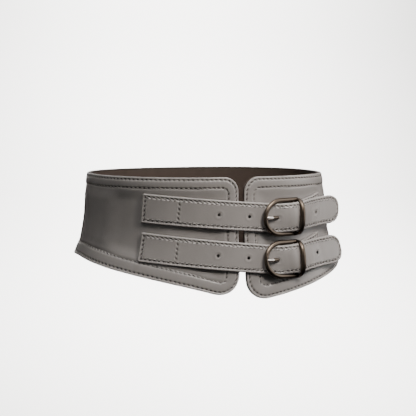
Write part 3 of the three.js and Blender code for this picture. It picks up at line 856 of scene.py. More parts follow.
def coated_leather(tree, shader, coordinates, looks):
    """Polyurethane-coated leather, embossed and calendered: an even satin grey with a fine grain."""
    # Broad mottling: the coat is a little thicker and darker in patches of two centimetres
    broad = {"Vector": coordinates, "Scale": 1 / 0.02, "Detail": 3.0}
    patches = add(tree, "ShaderNodeTexNoise", broad).outputs["Fac"]
    shade = add(tree, "ShaderNodeMapRange", {"Value": patches, "From Min": 0.3, "From Max": 0.7})
    tones = {0: shade.outputs[0], 6: toned(looks.leather, 0.94), 7: toned(looks.leather, 1.06)}
    base = add(tree, "ShaderNodeMix", tones, data_type="RGBA")
    # Painted highlight and stretched coat: the leather is painted lighter over a rim or a swelling beside a
    # seam, where the light catches it and where the coat is stretched
    pull_and_highlight = add(tree, "ShaderNodeAttribute", attribute_name="pull_and_highlight").outputs["Fac"]
    stretched = {0: pull_and_highlight, 6: base.outputs[2], 7: toned(looks.leather, looks.pull_up_and_highlight)}
    pulled = add(tree, "ShaderNodeMix", stretched, data_type="RGBA")
    # Painted shade: the needle holes are painted near black for the shade inside them, since no light gets
    # out of them
    hole_shade = add(tree, "ShaderNodeAttribute", attribute_name="hole_shade").outputs["Fac"]
    dark = {0: hole_shade, 6: pulled.outputs[2], 7: toned(looks.hole)}
    holes = add(tree, "ShaderNodeMix", dark, data_type="RGBA")
    tree.links.new(holes.outputs[2], shader.inputs["Base Color"])
    # Embossed grain: shallow pebbles under a millimetre across, on waves of two and a half
    small = {"Vector": coordinates, "Scale": 1 / 0.0009}
    pebbles = add(tree, "ShaderNodeTexVoronoi", small, feature="SMOOTH_F1").outputs["Distance"]
    waves = {"Vector": coordinates, "Scale": 1 / 0.0025, "Detail": 4.0}
    fine = add(tree, "ShaderNodeTexNoise", waves).outputs["Fac"]
    mixed = add(tree, "ShaderNodeMath", {0: pebbles, 1: fine}, operation="ADD").outputs[0]
    grain = add(tree, "ShaderNodeBump", {"Strength": 0.25, "Distance": 0.00005, "Height": mixed})
    tree.links.new(grain.outputs[0], shader.inputs["Normal"])
    # Satin finish, a little uneven
    satin = {"Value": fine, "To Min": looks.roughness - 0.05, "To Max": looks.roughness + 0.05}
    tree.links.new(add(tree, "ShaderNodeMapRange", satin).outputs[0], shader.inputs["Roughness"])


def brown_backing(tree, shader, coordinates, looks):
    """Brushed brown backing and cut edges: the dull fibres under the coated face."""
    short = {"Vector": coordinates, "Scale": 1 / 0.0012, "Detail": 4.0}
    fibres = add(tree, "ShaderNodeTexNoise", short).outputs["Fac"]
    grain = add(tree, "ShaderNodeBump", {"Strength": 0.4, "Distance": 0.0001, "Height": fibres})
    tree.links.new(grain.outputs[0], shader.inputs["Normal"])
    # The brushing leaves longer and shorter fibres, so the brown is darker in places
    long = {"Vector": coordinates, "Scale": 1 / 0.008, "Detail": 4.0}
    brushed = add(tree, "ShaderNodeTexNoise", long).outputs["Fac"]
    tones = {0: brushed, 6: toned(looks.lining, 0.85), 7: toned(looks.lining, 1.15)}
    brown = add(tree, "ShaderNodeMix", tones, data_type="RGBA")
    tree.links.new(brown.outputs[2], shader.inputs["Base Color"])
    shader.inputs["Roughness"].default_value = 0.85


def polyester_thread(tree, shader, coordinates, looks):
    """Twisted polyester sewing thread, dyed to match the leather: dull, a shade darker than the coat."""
    # Painted light and shade: the colour goes lighter and darker in turn, as the twisted plies half a
    # millimetre apart would catch and lose the light
    twisted = {"Vector": coordinates, "Scale": 1 / 0.0005, "Detail": 2.0}
    plies = add(tree, "ShaderNodeTexNoise", twisted).outputs["Fac"]
    shade = add(tree, "ShaderNodeMapRange", {"Value": plies, "From Min": 0.3, "From Max": 0.7})
    tones = {0: shade.outputs[0], 6: toned(looks.thread, 0.8), 7: toned(looks.thread, 1.2)}
    ply_light_and_shade = add(tree, "ShaderNodeMix", tones, data_type="RGBA")
    tree.links.new(ply_light_and_shade.outputs[2], shader.inputs["Base Color"])
    plied = add(tree, "ShaderNodeBump", {"Strength": 0.5, "Distance": 0.00008, "Height": plies})
    tree.links.new(plied.outputs[0], shader.inputs["Normal"])
    shader.inputs["Roughness"].default_value = 0.7


def gunmetal_plating(tree, shader, coordinates, looks):
    """Cast zinc alloy, polished and plated in dark gunmetal: clear highlights on a near black brown."""
    # Handling has dulled the polish unevenly, in patches of six millimetres
    handled = {"Vector": coordinates, "Scale": 1 / 0.006, "Detail": 3.0}
    wear = add(tree, "ShaderNodeTexNoise", handled).outputs["Fac"]
    rough = add(tree, "ShaderNodeMapRange", {"Value": wear, "To Min": 0.27, "To Max": 0.38})
    tree.links.new(rough.outputs[0], shader.inputs["Roughness"])
    # Painted highlight and wear: the prong's top near the front bar is painted pale, where the strap rubs the
    # plating thin and where the light glints on it
    rubbed = add(tree, "ShaderNodeAttribute", attribute_name="rubbed").outputs["Fac"]
    plating_and_highlight = {0: rubbed, 6: toned(looks.metal), 7: toned(looks.bare_and_highlight)}
    colour = add(tree, "ShaderNodeMix", plating_and_highlight, data_type="RGBA")
    tree.links.new(colour.outputs[2], shader.inputs["Base Color"])
    shader.inputs["Metallic"].default_value = 1.0


FINISHES = {
    "coated leather": coated_leather,
    "brown backing": brown_backing,
    "polyester thread": polyester_thread,
    "gunmetal plating": gunmetal_plating,
}


def finish(name, looks):
    """The material of a name, made by its own function at its first use. Its patterns are in metres."""
    if name in bpy.data.materials:
        return bpy.data.materials[name]
    material = bpy.data.materials.new(name)
    material.use_nodes = True
    tree = material.node_tree
    coordinates = add(tree, "ShaderNodeTexCoord").outputs["Object"]
    FINISHES[name](tree, tree.nodes["Principled BSDF"], coordinates, looks)
    return material


def new_object(name, points, faces, smooth=True):
    """A mesh object at the origin, with its place in its mesh."""
    mesh = bpy.data.meshes.new(name)
    mesh.from_pydata(points.tolist(), [], faces)
    mesh.update()
    mesh.polygons.foreach_set("use_smooth", np.full(len(mesh.polygons), smooth))
    piece = bpy.data.objects.new(name, mesh)
    bpy.context.scene.collection.objects.link(piece)
    return piece


def build(name, points, faces, finishes, slot, parts=None, fields=None, replaces=None):
    """Makes the mesh object of one piece, rides it on the belt and hides what it stands for."""
    piece = new_object(name, points, outwards(points, faces))
    mesh = piece.data
    for material in finishes:
        mesh.materials.append(finish(material, bpy.context.scene.belt_looks))
    if parts is not None:
        mesh.polygons.foreach_set("material_index", np.asarray(parts, np.int32))
    for field, values in (fields or {}).items():
        layer = mesh.attributes.new(field, "FLOAT", "POINT")
        layer.data.foreach_set("value", np.clip(values, 0.0, 1.0).astype(np.float32))
    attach(piece, "root")
    if replaces:
        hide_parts(replaces)
    return piece


def cut(piece, points, faces):
    """Cuts a closed body out of a piece."""
    cutter = new_object("cutter", points, faces, smooth=False)
    modifier = piece.modifiers.new("holes", "BOOLEAN")
    modifier.operation = "DIFFERENCE"
    modifier.solver = "EXACT"
    modifier.object = cutter
    bpy.context.view_layer.update()
    shape = piece.evaluated_get(bpy.context.evaluated_depsgraph_get())
    result = bpy.data.meshes.new_from_object(shape)
    piece.modifiers.clear()
    spent = (piece.data, cutter.data)
    piece.data = result
    bpy.data.objects.remove(cutter)
    for mesh in spent:
        bpy.data.meshes.remove(mesh)
    if not len(result.polygons):
        raise RuntimeError(f"cutting the holes left nothing of {piece.name}")


def length_of(name, description, default):
    """A setting in metres."""
    return FloatProperty(name=name, description=description, default=default, unit="LENGTH", precision=5)


def number_of(name, description, default, **limits):
    """A setting without a unit."""
    return FloatProperty(name=name, description=description, default=default, **limits)


def colour_of(name, description, code):
    """A colour setting, by its sRGB hex code."""
    return FloatVectorProperty(
        name=name, description=description, default=linear(code)[:3], subtype="COLOR", min=0, max=1)


class BeltWaist(bpy.types.PropertyGroup):
    """The wearer's waist, which gives the belt its form."""

    half_width: length_of("Half width", "Half the waist's width inside the belt", 0.121)
    half_depth: length_of("Half depth", "Half the waist's depth inside the belt", 0.0868)
    oval_power: number_of("Oval power", "2 is an ellipse, more is squarer", 2.15, min=1.5, max=4)
    lean: number_of("Lean", "Sideways shift per height", -0.05)


class BeltWrap(bpy.types.PropertyGroup):
    """The wide main band."""

    wall: length_of("Wall", "Thickness of the band", 0.0024)
    front_gap: length_of("Front gap", "Gap between the two front ends", 0.0054)
    top_height: length_of("Top height", "Height of the top edge at the sides", 0.0552)
    top_rise: length_of("Top rise", "Rise of the top edge at the front", 0.0016)
    top_askew: length_of("Top askew", "Rise of the top edge at the left side", 0.0022)
    bottom_height: length_of("Bottom height", "Height of the bottom edge at the back", -0.0265)
    drop: length_of("Front drop", "Drop of the bottom edge at the front", 0.0365)
    drop_reach: length_of("Drop reach", "Length from the front where the drop starts", 0.165)
    drop_power: number_of("Drop power", "How pointed the drop is", 1.3)
    drop_askew: number_of("Drop askew", "Tilt of the drop to one side", 0.12)
    swell: length_of("Swell", "Rise of the face inside the border's seam", 0.0014)
    swell_reach: length_of("Swell reach", "How far in the rise goes", 0.012)
    bulge: length_of("Bulge", "Rise of the face at the sides, past the straps", 0.0022)
    straps_end: length_of("Straps end", "Length from the front past which no strap lies", 0.125)


class BeltBorder(bpy.types.PropertyGroup):
    """The raised strip round the wrap's edge."""

    width: length_of("Width", "Width of the strip", 0.0125)
    wall: length_of("Wall", "Thickness of the strip", 0.0011)
    seat: length_of("Seat", "Gap under the strip", 0.00035)
    inset: length_of("Inset", "Inset from the wrap's edge", 0.0002)
    inner_corner: length_of("Inner corner", "Radius of the inner corners", 0.006)
    outer_row: length_of("Outer row", "Outer stitches' distance from the edge", 0.0028)
    inner_row: length_of("Inner row", "Inner stitches' distance from the edge", 0.0113)
    row_drift: length_of("Row drift", "Inner row's shift at the bottom and top", 0.0008)
    pillow: length_of("Pillow", "Rise of the padding between the rows", 0.00045)


class BeltStrap(bpy.types.PropertyGroup):
    """Both straps."""

    width: length_of("Width", "Width of a strap", 0.0279)
    wall: length_of("Wall", "Thickness of a strap", 0.0026)
    hole: length_of("Hole", "Diameter of the buckle holes", 0.003)
    tip_past_hole: length_of("Tip past hole", "From the last hole to the tip", 0.0352)
    tip_length: length_of("Tip length", "Length of the rounded tip", 0.015)
    tip_power: number_of("Tip power", "2 is an ellipse, more is squarer", 2.35)
    row_inset: length_of("Stitch inset", "Stitches' distance from the edge", 0.0027)
    sewn_end: length_of("Sewn end", "Distance of the cross stitches from the end", 0.035)


class BeltBuckle(bpy.types.PropertyGroup):
    """Both buckles."""

    rod: length_of("Rod", "Thickness of the frame", 0.0036)
    frame_width: length_of("Frame width", "Width of the frame's flattened rod", 0.0047)
    height: length_of("Height", "Height of the frame", 0.0372)
    front_at: length_of("Front bar", "Front bar's length from the centre front", 0.0214)
    heel_at: length_of("Heel bar", "Heel bar's length from the centre front", 0.053)
    front_lift: length_of("Front lift", "Front bar's lift off the waist", 0.011)
    heel_bar: length_of("Heel bar size", "Thickness of the heel bar", 0.0032)
    keeper: length_of("Keeper", "Thickness of the arch over the strap", 0.004)
    keeper_shift: length_of("Keeper shift", "Arch's distance past the heel bar", 0.0066)
    keeper_rise: length_of("Keeper rise", "Height of the arch over the heel bar", 0.01085)
    keeper_power: number_of("Keeper power", "How square the arch is", 2.7)
    keeper_swell: number_of("Keeper swell", "How much wider the arch is in its middle", 0.5)
    keeper_lean: number_of("Keeper lean", "How far the arch leans to the tip", -0.15)
    prong: length_of("Prong", "Thickness of the prong", 0.0038)


class BeltTab(bpy.types.PropertyGroup):
    """The folded tabs that hold the buckles."""

    width: length_of("Width", "Width of a tab", 0.0245)
    layer: length_of("Layer", "Thickness of each layer", 0.00125)
    length: length_of("Length", "Length past the heel bar", 0.049)
    row_inset: length_of("Stitch inset", "Stitches' distance from the edge", 0.0023)
    slot: length_of("Slot", "Width of the prong's slot", 0.006)


class BeltStitch(bpy.types.PropertyGroup):
    """Every row of stitches."""

    pitch: length_of("Pitch", "Length from stitch to stitch", 0.0044)
    thread: length_of("Thread", "Thickness of the thread", 0.0007)
    gap: length_of("Gap", "Gap between two stitches", 0.0014)
    rise: length_of("Rise", "Height of a stitch over its groove", 0.0002)
    dive: length_of("Dive", "How deep the ends go", 0.0007)
    slant: length_of("Slant", "Sideways shift of the ends", 0.0004)
    hole_reach: length_of("Hole reach", "Half a needle hole along the row", 0.0009)
    hole_width: length_of("Hole width", "Half a needle hole across the row", 0.0008)
    hole_depth: length_of("Hole depth", "Depth of a needle hole", 0.0006)
    lean: number_of("Lean", "How far the needle holes lean", 0.7)
    groove: length_of("Groove", "Depth of the groove", 0.0003)
    groove_width: length_of("Groove width", "Half the groove's width", 0.0007)
    puff: length_of("Puff", "Rise of the leather beside a row", 0.00014)
    puff_at: length_of("Puff place", "Distance of the rise from the row", 0.0013)
    puff_width: length_of("Puff width", "Half the rise's width", 0.0007)


class BeltLooks(bpy.types.PropertyGroup):
    """Colours and finishes."""

    leather: colour_of("Leather", "Colour of the coated face", "#8a8582")
    # Painted shade: the colour that stands for the shade inside the needle holes
    hole: colour_of("Holes", "Colour inside the needle holes", "#2a2522")
    lining: colour_of("Backing", "Colour of the backing", "#40342c")
    thread: colour_of("Thread", "Colour of the thread", "#8b8681")
    metal: colour_of("Metal", "Colour of the plating", "#60564c")
    # Painted highlight and wear: the pale colour on the prong's top, partly rubbed plating and partly a
    # painted glint
    bare_and_highlight: colour_of("Bare metal", "Colour where the plating is rubbed thin", "#e6ded6")
    paper: colour_of("Paper", "Colour of the backdrop", "#f4f2ef")
    # Painted highlight and stretch: how much lighter the leather is painted over rims and swellings
    pull_up_and_highlight: number_of("Pull-up", "How much lighter the leather is where it is stretched", 1.3)
    roughness: number_of("Roughness", "Roughness of the leather", 0.4, min=0, max=1)


def levels(scene):
    """Lifts that follow from the sizes: the border's face, the seats of tab and buckle."""
    wrap, border, tab, buckle = scene.belt_wrap, scene.belt_border, scene.belt_tab, scene.belt_buckle
    face = wrap.wall + border.seat + border.wall
    seat = wrap.wall + CLEARANCE
    eye = buckle.heel_bar / 2 + CLEARANCE + tab.layer
    heel = seat + eye + HEEL_STAND
    return {"face": face, "seat": seat, "eye": eye, "bore": eye - tab.layer, "heel": heel}


def strap_rows(scene):
    """The two rows with their frames worked out."""
    waist = WaistForm(scene.belt_waist)
    groups = (scene.belt_strap, scene.belt_buckle, scene.belt_tab)
    return [StrapRow(row, waist, *groups, levels(scene)) for row in ROWS]


class BELT_OT_wrap(bpy.types.Operator):
    """Build the wide main band with its rounded edge and brown back"""

    bl_idname = "belt.wrap"
    bl_label = "Build Wrap"

    def execute(self, context):
        scene = context.scene
        wrap, border = scene.belt_wrap, scene.belt_border
        plan = WrapPlan(WaistForm(scene.belt_waist), wrap, WRAP_SPACING)
        slab = Slab(plan.loop, plan.along, plan.across, edge_profile(*WRAP_EDGE))
        # Inside the strip the face swells up to the seam, and sinks again towards the middle
        depth = plan.depth(slab.plan)
        seam_at = border.width + row_drift(border, slab.plan[:, 1]) - SWELL_OUTSIDE
        inwards = smooth_step(seam_at, seam_at + wrap.swell_reach, depth)
        # Under the straps the face lies flat again, and at the sides it goes on bulging
        length = plan.length(slab.plan[:, 0])
        side = smooth_step(wrap.straps_end - BULGE_GROWS, wrap.straps_end, np.abs(length + BULGE_CENTRE))
        middle = wrap.bulge / wrap.swell * side
        swell = smooth_step(seam_at - MM, seam_at, depth) * (1 - inwards + middle * inwards)
        lift = wrap.wall / 2 * (1 + slab.share) + wrap.swell * swell * (slab.share > ON_FACE)
        build("belt_wrap", plan.place(slab.plan, lift), slab.faces, ("coated leather", "brown backing"),
              "wrap_leather", parts=np.where(slab.part == 0, 0, 1), replaces="wrap_panel")
        return {"FINISHED"}


def row_drift(border, height):
    """Shift of the inner row and of the strip's inner edge: outwards at the top, inwards at the bottom."""
    return np.clip(-height / DRIFT_HEIGHT, -1.0, 1.0) * border.row_drift


class BELT_OT_border(bpy.types.Operator):
    """Build the raised border strip with its two rows of stitches"""

    bl_idname = "belt.border"
    bl_label = "Build Border"

    def section(self, border):
        """Rings of the strip by inset and share of its thickness, from the outer edge to the underside.

        On the face they lie close together at the two rows and where the inner edge rolls down.
        """
        outer, inner, near = border.outer_row, border.inner_row, np.array(BESIDE_ROW)
        band = np.linspace(outer + CLEAR_OF_ROW, inner - CLEAR_OF_ROW, BAND_RINGS)
        down = np.sin(np.linspace(0.0, math.pi / 2, ROLL_RINGS))
        roll = border.width - ROLL_FROM + ROLL_REACH * down
        face = np.concatenate((outer + near, band, inner + near[:5], roll))
        edge = [(border.inset + inset, share) for inset, share in edge_profile(*BORDER_EDGE)[::-1]]
        under = [(inset, -1.0) for inset in BORDER_UNDER]
        return edge + [(inset, 1.0) for inset in face] + [(border.width + TUCKED_PAST, TUCKED)] + under

    def execute(self, context):
        scene = context.scene
        border, stitch, wall = scene.belt_border, scene.belt_stitch, scene.belt_wrap.wall
        face = levels(scene)["face"]
        plan = WrapPlan(WaistForm(scene.belt_waist), scene.belt_wrap, BORDER_SPACING)
        outer = plan.loop(border.inset)
        inner = plan.loop(border.width, border.inner_corner)
        span = border.width - border.inset

        def loop(inset):
            return outer + (inset - border.inset) / span * (inner - outer)

        drift = row_drift(border, outer[:, 1:])
        places = (border.outer_row + 0 * drift, border.inner_row + drift)
        level = face - stitch.groove
        rows = [Seam(plan.place, loop(place), loop(place + SEAM_STEP), level, stitch) for place in places]
        stations = np.arange(len(outer))
        points, hole_shades, pulls_and_highlights = [], [], []
        for inset, share in self.section(border):
            shift = drift * smooth_step(border.outer_row + MM, border.inner_row - MM, inset)
            dark, pull_and_highlight = np.zeros(len(outer)), np.zeros(len(outer))
            lift = face - border.wall / 2 * (1 - share)
            if share > ON_FACE:
                band = ((inset + shift - places[0]) / (places[1] - places[0]))[:, 0]
                height = border.pillow * np.clip(1 - (2 * band - 1) ** 2, 0.0, None)
                for seam, place in zip(rows, places):
                    beside = relief_beside(seam, stations, (inset + shift - place)[:, 0], stitch)
                    height, dark, pull_and_highlight = height + beside[0], dark + beside[1], pull_and_highlight + SWELL_PULL_AND_HIGHLIGHT * beside[2]
                roll = np.clip((inset - border.width + ROLL_FROM) / ROLL_REACH, 0.0, 1.0)
                lift = wall + (lift + height - wall) * np.sqrt(1 - roll ** 2 * ROLL_DEPTH)
            elif share == TUCKED:
                lift = wall + TUCKED_LIFT
            points.append(plan.place(loop(inset + shift), lift))
            # The hole mask paints shade in the needle holes
            hole_shades.append(dark)
            # The stretch mask also paints a highlight over the rims and the swellings beside the rows
            pulls_and_highlights.append(pull_and_highlight + rim_pull_and_highlight(inset, share, BORDER_STRETCH_AND_HIGHLIGHT))
        grid = np.stack(points)
        numbers = np.arange(grid.shape[0] * grid.shape[1]).reshape(grid.shape[:2])
        faces = grid_faces(numbers, close_rows=True, close_columns=True).tolist()
        fields = {"hole_shade": np.concatenate(hole_shades), "pull_and_highlight": np.concatenate(pulls_and_highlights)}
        build("belt_border", grid.reshape(-1, 3), faces, ("coated leather",), "border_leather",
              fields=fields, replaces="border_frame")
        points, faces = joined([seam.threads() for seam in rows])
        build("border_stitches", points, faces, ("polyester thread",), "thread")
        return {"FINISHED"}


class BELT_OT_straps(bpy.types.Operator):
    """Build the two straps with their stitches and holes"""

    bl_idname = "belt.straps"
    bl_label = "Build Straps"

    def execute(self, context):
        for row in strap_rows(context.scene):
            self.build_strap(row, context.scene.belt_stitch)
        return {"FINISHED"}

    def build_strap(self, row, stitch):
        """One strap: a slab with a puffed rim, a groove with needle holes, and soft dips at its holes."""
        strap, name = row.strap, row.row["name"]
        half, wall = strap.width / 2, strap.wall
        side_points = round((row.total - strap.tip_length) / STRAP_SPACING)
        tip = (strap.tip_length, half, strap.tip_power)
        counts = (side_points,) + STRAP_POINTS
        loop, along, across = oblong(0.0, row.total, half, STRAP_CORNER, tip, counts)
        profile = [(inset, 1.0) for inset in STRAP_RINGS] + edge_profile(*STRAP_EDGE).tolist()
        slab = Slab(loop, along, across, profile + [(STRAP_UNDER, -1.0)])
        top = slab.share > ON_FACE
        inset, level = strap.row_inset, wall - stitch.groove
        seam = Seam(row.on_strap, loop(inset), loop(inset + SEAM_STEP), level, stitch)
        relief, hole_shades, pull_and_highlight = slab_relief(slab, seam, inset, stitch)

        # The cross row ends at the long rows, and its nearest point stands for it at any place
        x, y = slab.plan.T
        reach, last = half - inset, CROSS_POINTS - 1
        line = np.linspace((strap.sewn_end, -reach), (strap.sewn_end, reach), CROSS_POINTS)
        cross = Seam(row.on_strap, line, line + [SEAM_STEP, 0.0], level, stitch, closed=False)
        inside = smooth_step(0.0, CROSS_FADE, reach - np.abs(y))
        nearest = np.clip(np.round((y + reach) / (2 * reach) * last), 0, last).astype(int)
        beside = relief_beside(cross, nearest, x - strap.sewn_end, stitch)
        relief, hole_shades, pull_and_highlight = relief + beside[0] * inside, hole_shades + beside[1] * inside, pull_and_highlight + beside[2] * inside

        for hole in row.holes + [row.prong_hole]:
            away = np.hypot(x - hole, y)
            dip, ring = (size * bump_at(away, at, width) for size, at, width in (HOLE_DIP, HOLE_RING))
            relief = relief - dip + ring
        lift = wall / 2 * (1 + slab.share) + np.where(top, relief, 0.0)
        # The stretch mask also paints a highlight over the rim and the swellings beside the row
        pull_and_highlight = SWELL_PULL_AND_HIGHLIGHT * pull_and_highlight * top + rim_pull_and_highlight(slab.inset, slab.share, STRAP_STRETCH_AND_HIGHLIGHT)
        # The hole mask paints shade in the needle holes
        fields = {"hole_shade": np.where(top, hole_shades, 0.0), "pull_and_highlight": pull_and_highlight}
        piece = build(f"{name}_strap_leather", row.on_strap(slab.plan, lift), slab.faces,
                      ("coated leather",), "strap_leather", fields=fields, replaces=f"{name}_strap")
        # The prong has pulled its own hole out into a drop towards the buckle's front
        punched = [(hole, strap.hole / 2) for hole in row.holes]
        punched += [(row.prong_hole + step, strap.hole / 2 * size) for step, size in PRONG_HOLE]
        cutters = []
        for hole, radius in punched:
            middle = np.array([[hole, 0.0]])
            bottom, over = (row.on_strap(middle, lift)[0] for lift in (-PUNCH_PAST, wall + PUNCH_PAST))
            cutters.append(rod(np.linspace(bottom, over, PUNCH_STEPS), UP, radius, ROD_SIDES))
        passage = row.in_buckle(prong_path(row))
        cutters.append(rod(passage, row.side, row.buckle.prong / 2 + PRONG_ROOM, SLIM_SIDES))
        cut(piece, *joined(cutters))
        points, faces = joined([seam.threads(), cross.threads()])
        build(f"{name}_strap_stitches", points, faces, ("polyester thread",), "thread")


def prong_path(row):
    """Middle line of the prong: under the strap, up through its hole and on to the front bar's inner edge."""
    front = row.frame_length - row.buckle.frame_width / 2
    table = PRONG_LINE + tuple((front + step, height) for step, height in PRONG_END)
    at = np.linspace(table[0][0], table[-1][0], PRONG_STEPS)
    return np.stack((-at, np.zeros(len(at)), smooth_table(table, at)), axis=-1)


class BELT_OT_buckles(bpy.types.Operator):
    """Build the two buckle frames and their prongs"""

    bl_idname = "belt.buckles"
    bl_label = "Build Buckles"

    def execute(self, context):
        metal = ("gunmetal plating",)
        for row in strap_rows(context.scene):
            name = row.row["name"]
            points, faces = self.frame_body(row)
            build(f"{name}_buckle_metal", points, faces, metal, "buckle_metal",
                  replaces=f"{name}_buckle_frame")
            points, faces, rubbed = self.prong_body(row)
            build(f"{name}_prong_metal", points, faces, metal, "buckle_metal", fields={"rubbed": rubbed},
                  replaces=f"{name}_prong")
        return {"FINISHED"}

    def frame_body(self, row):
        """Half ring with its rails, the keeper arch from rail to rail and the heel bar, as rods.

        The half ring is half an ellipse, and the arch a superellipse that leans more as it rises.
        """
        buckle = row.buckle
        rail = (buckle.height - buckle.frame_width) / 2
        turn = np.linspace(math.pi / 2, 3 * math.pi / 2, RING_TURNS)
        ahead = RING_BULGE * rail * (1 + np.cos(turn)) - row.frame_length
        ring = np.stack((ahead, rail * np.sin(turn)), axis=-1)
        line = np.concatenate(([[buckle.keeper_shift, rail]], ring, [[buckle.keeper_shift, -rail]]))
        path = np.column_stack((evenly(line, FRAME_STEPS), np.zeros(FRAME_STEPS)))
        flatter = buckle.rod / buckle.frame_width
        ring = rod(path, UP, buckle.frame_width / 2, ROD_SIDES, widen=flatter)
        turn = np.linspace(0.0, math.pi, ARCH_TURNS)
        across = signed_power(np.cos(turn), 2 / buckle.keeper_power)
        over = buckle.keeper_rise * np.abs(np.sin(turn)) ** (2 / buckle.keeper_power)
        arch = np.stack((buckle.keeper_shift + buckle.keeper_lean * over, -rail * across, over), axis=-1)
        normal = unit(np.array([1.0, 0.0, -buckle.keeper_lean]))
        swell = np.sin(np.linspace(0.0, math.pi, ARCH_STEPS))
        ends, gain = ARCH_THICK
        thick = buckle.keeper / 2 * (ends + gain * swell)
        wide = 1.0 + buckle.keeper_swell * swell
        keeper = rod(evenly(arch, ARCH_STEPS), normal, thick, ROD_SIDES, widen=wide)
        bar = np.linspace((0.0, -rail, 0.0), (0.0, rail, 0.0), BAR_STEPS)
        heel = rod(bar, UP, buckle.heel_bar / 2, SLIM_SIDES)
        points, faces = joined([ring, keeper, heel])
        return row.in_buckle(points), faces

    def prong_body(self, row):
        """A bent rod that thins towards its tip, and a rounded eye round the heel bar.

        The eye is a superellipse turned round the bar.
        """
        buckle = row.buckle
        path = evenly(prong_path(row), PRONG_STEPS)
        share = np.linspace(0.0, 1.0, PRONG_STEPS)
        gain = PRONG_GAIN * smooth_step(*PRONG_COMES_UP, -path[:, 0])
        loss = PRONG_TIP_LOSS * smooth_step(PRONG_TIP_FROM, 1.0, share)
        prong = rod(path, (0.0, 1.0, 0.0), buckle.prong / 2 * (PRONG_ROOT + gain - loss), SLIM_SIDES)
        turn = np.linspace(0.0, 2 * math.pi, EYE_STEPS[0], endpoint=False)[:, None]
        angle = np.linspace(0.0, 2 * math.pi, EYE_STEPS[1], endpoint=False)[None, :]
        bore = buckle.heel_bar / 2 + CLEARANCE
        ring = bore + EYE_WALL + EYE_WALL * signed_power(np.cos(angle), EYE_POWER)
        wide = EYE_WIDTH * signed_power(np.sin(angle), EYE_POWER)
        points = np.stack(np.broadcast_arrays(ring * np.cos(turn), wide, ring * np.sin(turn)), axis=-1)
        numbers = np.arange(points[..., 0].size).reshape(EYE_STEPS)
        eye = (points.reshape(-1, 3), grid_faces(numbers, close_rows=True, close_columns=True).tolist())
        points, faces = joined([prong, eye])
        # Mask of the painted highlight and the wear: the prong's top near the front bar
        near = smooth_step(*RUBBED_AND_HIGHLIGHT, row.frame_length + points[:, 0])
        return row.in_buckle(points), faces, near * smooth_step(0.0, RUBBED_AND_HIGHLIGHT_RISE, points[:, 2])


class BELT_OT_tabs(bpy.types.Operator):
    """Build the two folded tabs that hold the buckles"""

    bl_idname = "belt.tabs"
    bl_label = "Build Tabs"

    def execute(self, context):
        for row in strap_rows(context.scene):
            self.build_tab(row, context.scene.belt_stitch)
        return {"FINISHED"}

    def build_tab(self, row, stitch):
        """One tab: round the heel bar it is a rolled eye, and past it two layers lie on each other."""
        tab, name, eye = row.tab, row.row["name"], row.levels["eye"]
        flat_under = TAB_SEAT - (row.levels["heel"] - row.levels["seat"])
        flat_top = flat_under + 2 * tab.layer
        half = tab.width / 2
        side_points = round((tab.length + eye) / TAB_SPACING)
        loop, along, across = oblong(-eye, tab.length, half, *TAB_CORNERS, (side_points,) + TAB_POINTS)
        edge = edge_profile(*TAB_EDGE).tolist()
        middle = len(edge) // 2
        profile = [(inset, 1.0) for inset in TAB_RINGS] + edge[:middle] + list(TAB_LAYERS)
        slab = Slab(loop, along, across, profile + edge[middle + 1 :] + [(TAB_UNDER, -1.0)])

        def surface(plan, share):
            """Level of the tab's top, its underside or what lies between, by the share from -1 to 1."""
            x = plan[..., 0]
            circle = np.sqrt(np.clip(eye ** 2 - np.minimum(x, 0.0) ** 2, 0.0, None))
            down, drop = smooth_step(0.0, TAB_FLAT_ABOVE, x), smooth_step(0.0, TAB_FLAT_BELOW, x)
            top = circle * (1 - down) + flat_top * down
            under = -circle * (1 - drop) + flat_under * drop
            return (top + under) / 2 + (top - under) / 2 * share

        def place(plan, level):
            return row.on_tab(plan, surface(plan, 1.0) + level)

        inset = tab.row_inset
        ring = loop(inset)
        kept = (ring[:, 0] > TAB_ROW_FROM).astype(float)
        seam = Seam(place, ring, loop(inset + SEAM_STEP), -stitch.groove, stitch, kept=kept)
        top = slab.share > ON_FACE
        sewn = smooth_step(*TAB_SEWN, slab.plan[:, 0])
        relief, hole_shades, pull_and_highlight = slab_relief(slab, seam, inset, stitch)
        # The stretch mask also paints a highlight over the rim and the swellings beside the row
        pull_and_highlight = SWELL_PULL_AND_HIGHLIGHT * pull_and_highlight * slab.on_ring * top * sewn + rim_pull_and_highlight(slab.inset, slab.share, TAB_STRETCH_AND_HIGHLIGHT)
        level = surface(slab.plan, slab.share) + np.where(top, sewn * relief, 0.0)
        # The hole mask paints shade in the needle holes
        piece = build(f"{name}_tab_leather", row.on_tab(slab.plan, level), slab.faces, ("coated leather",),
                      "strap_leather", fields={"hole_shade": hole_shades * top, "pull_and_highlight": pull_and_highlight},
                      replaces=f"{name}_buckle_tab")
        reach = half + BORE_PAST
        bore = np.linspace((0.0, -reach, 0.0), (0.0, reach, 0.0), BORE_STEPS)
        bore_points, bore_faces = rod(bore, UP, row.levels["bore"], BORE_SIDES)
        wide, high = (times * eye for times in SLOT_REACH)
        slot = tab.slot / 2
        corners = [[x, y, z] for x in (-wide, wide) for y in (-slot, slot) for z in (-high, high)]
        box = [[0, 1, 3, 2], [4, 6, 7, 5], [0, 4, 5, 1], [2, 3, 7, 6], [0, 2, 6, 4], [1, 5, 7, 3]]
        for points, faces in ((bore_points, bore_faces), (np.array(corners), box)):
            points = row.in_buckle(points)
            cut(piece, points, outwards(points, faces))
        build(f"{name}_tab_stitches", *seam.threads(), ("polyester thread",), "thread")


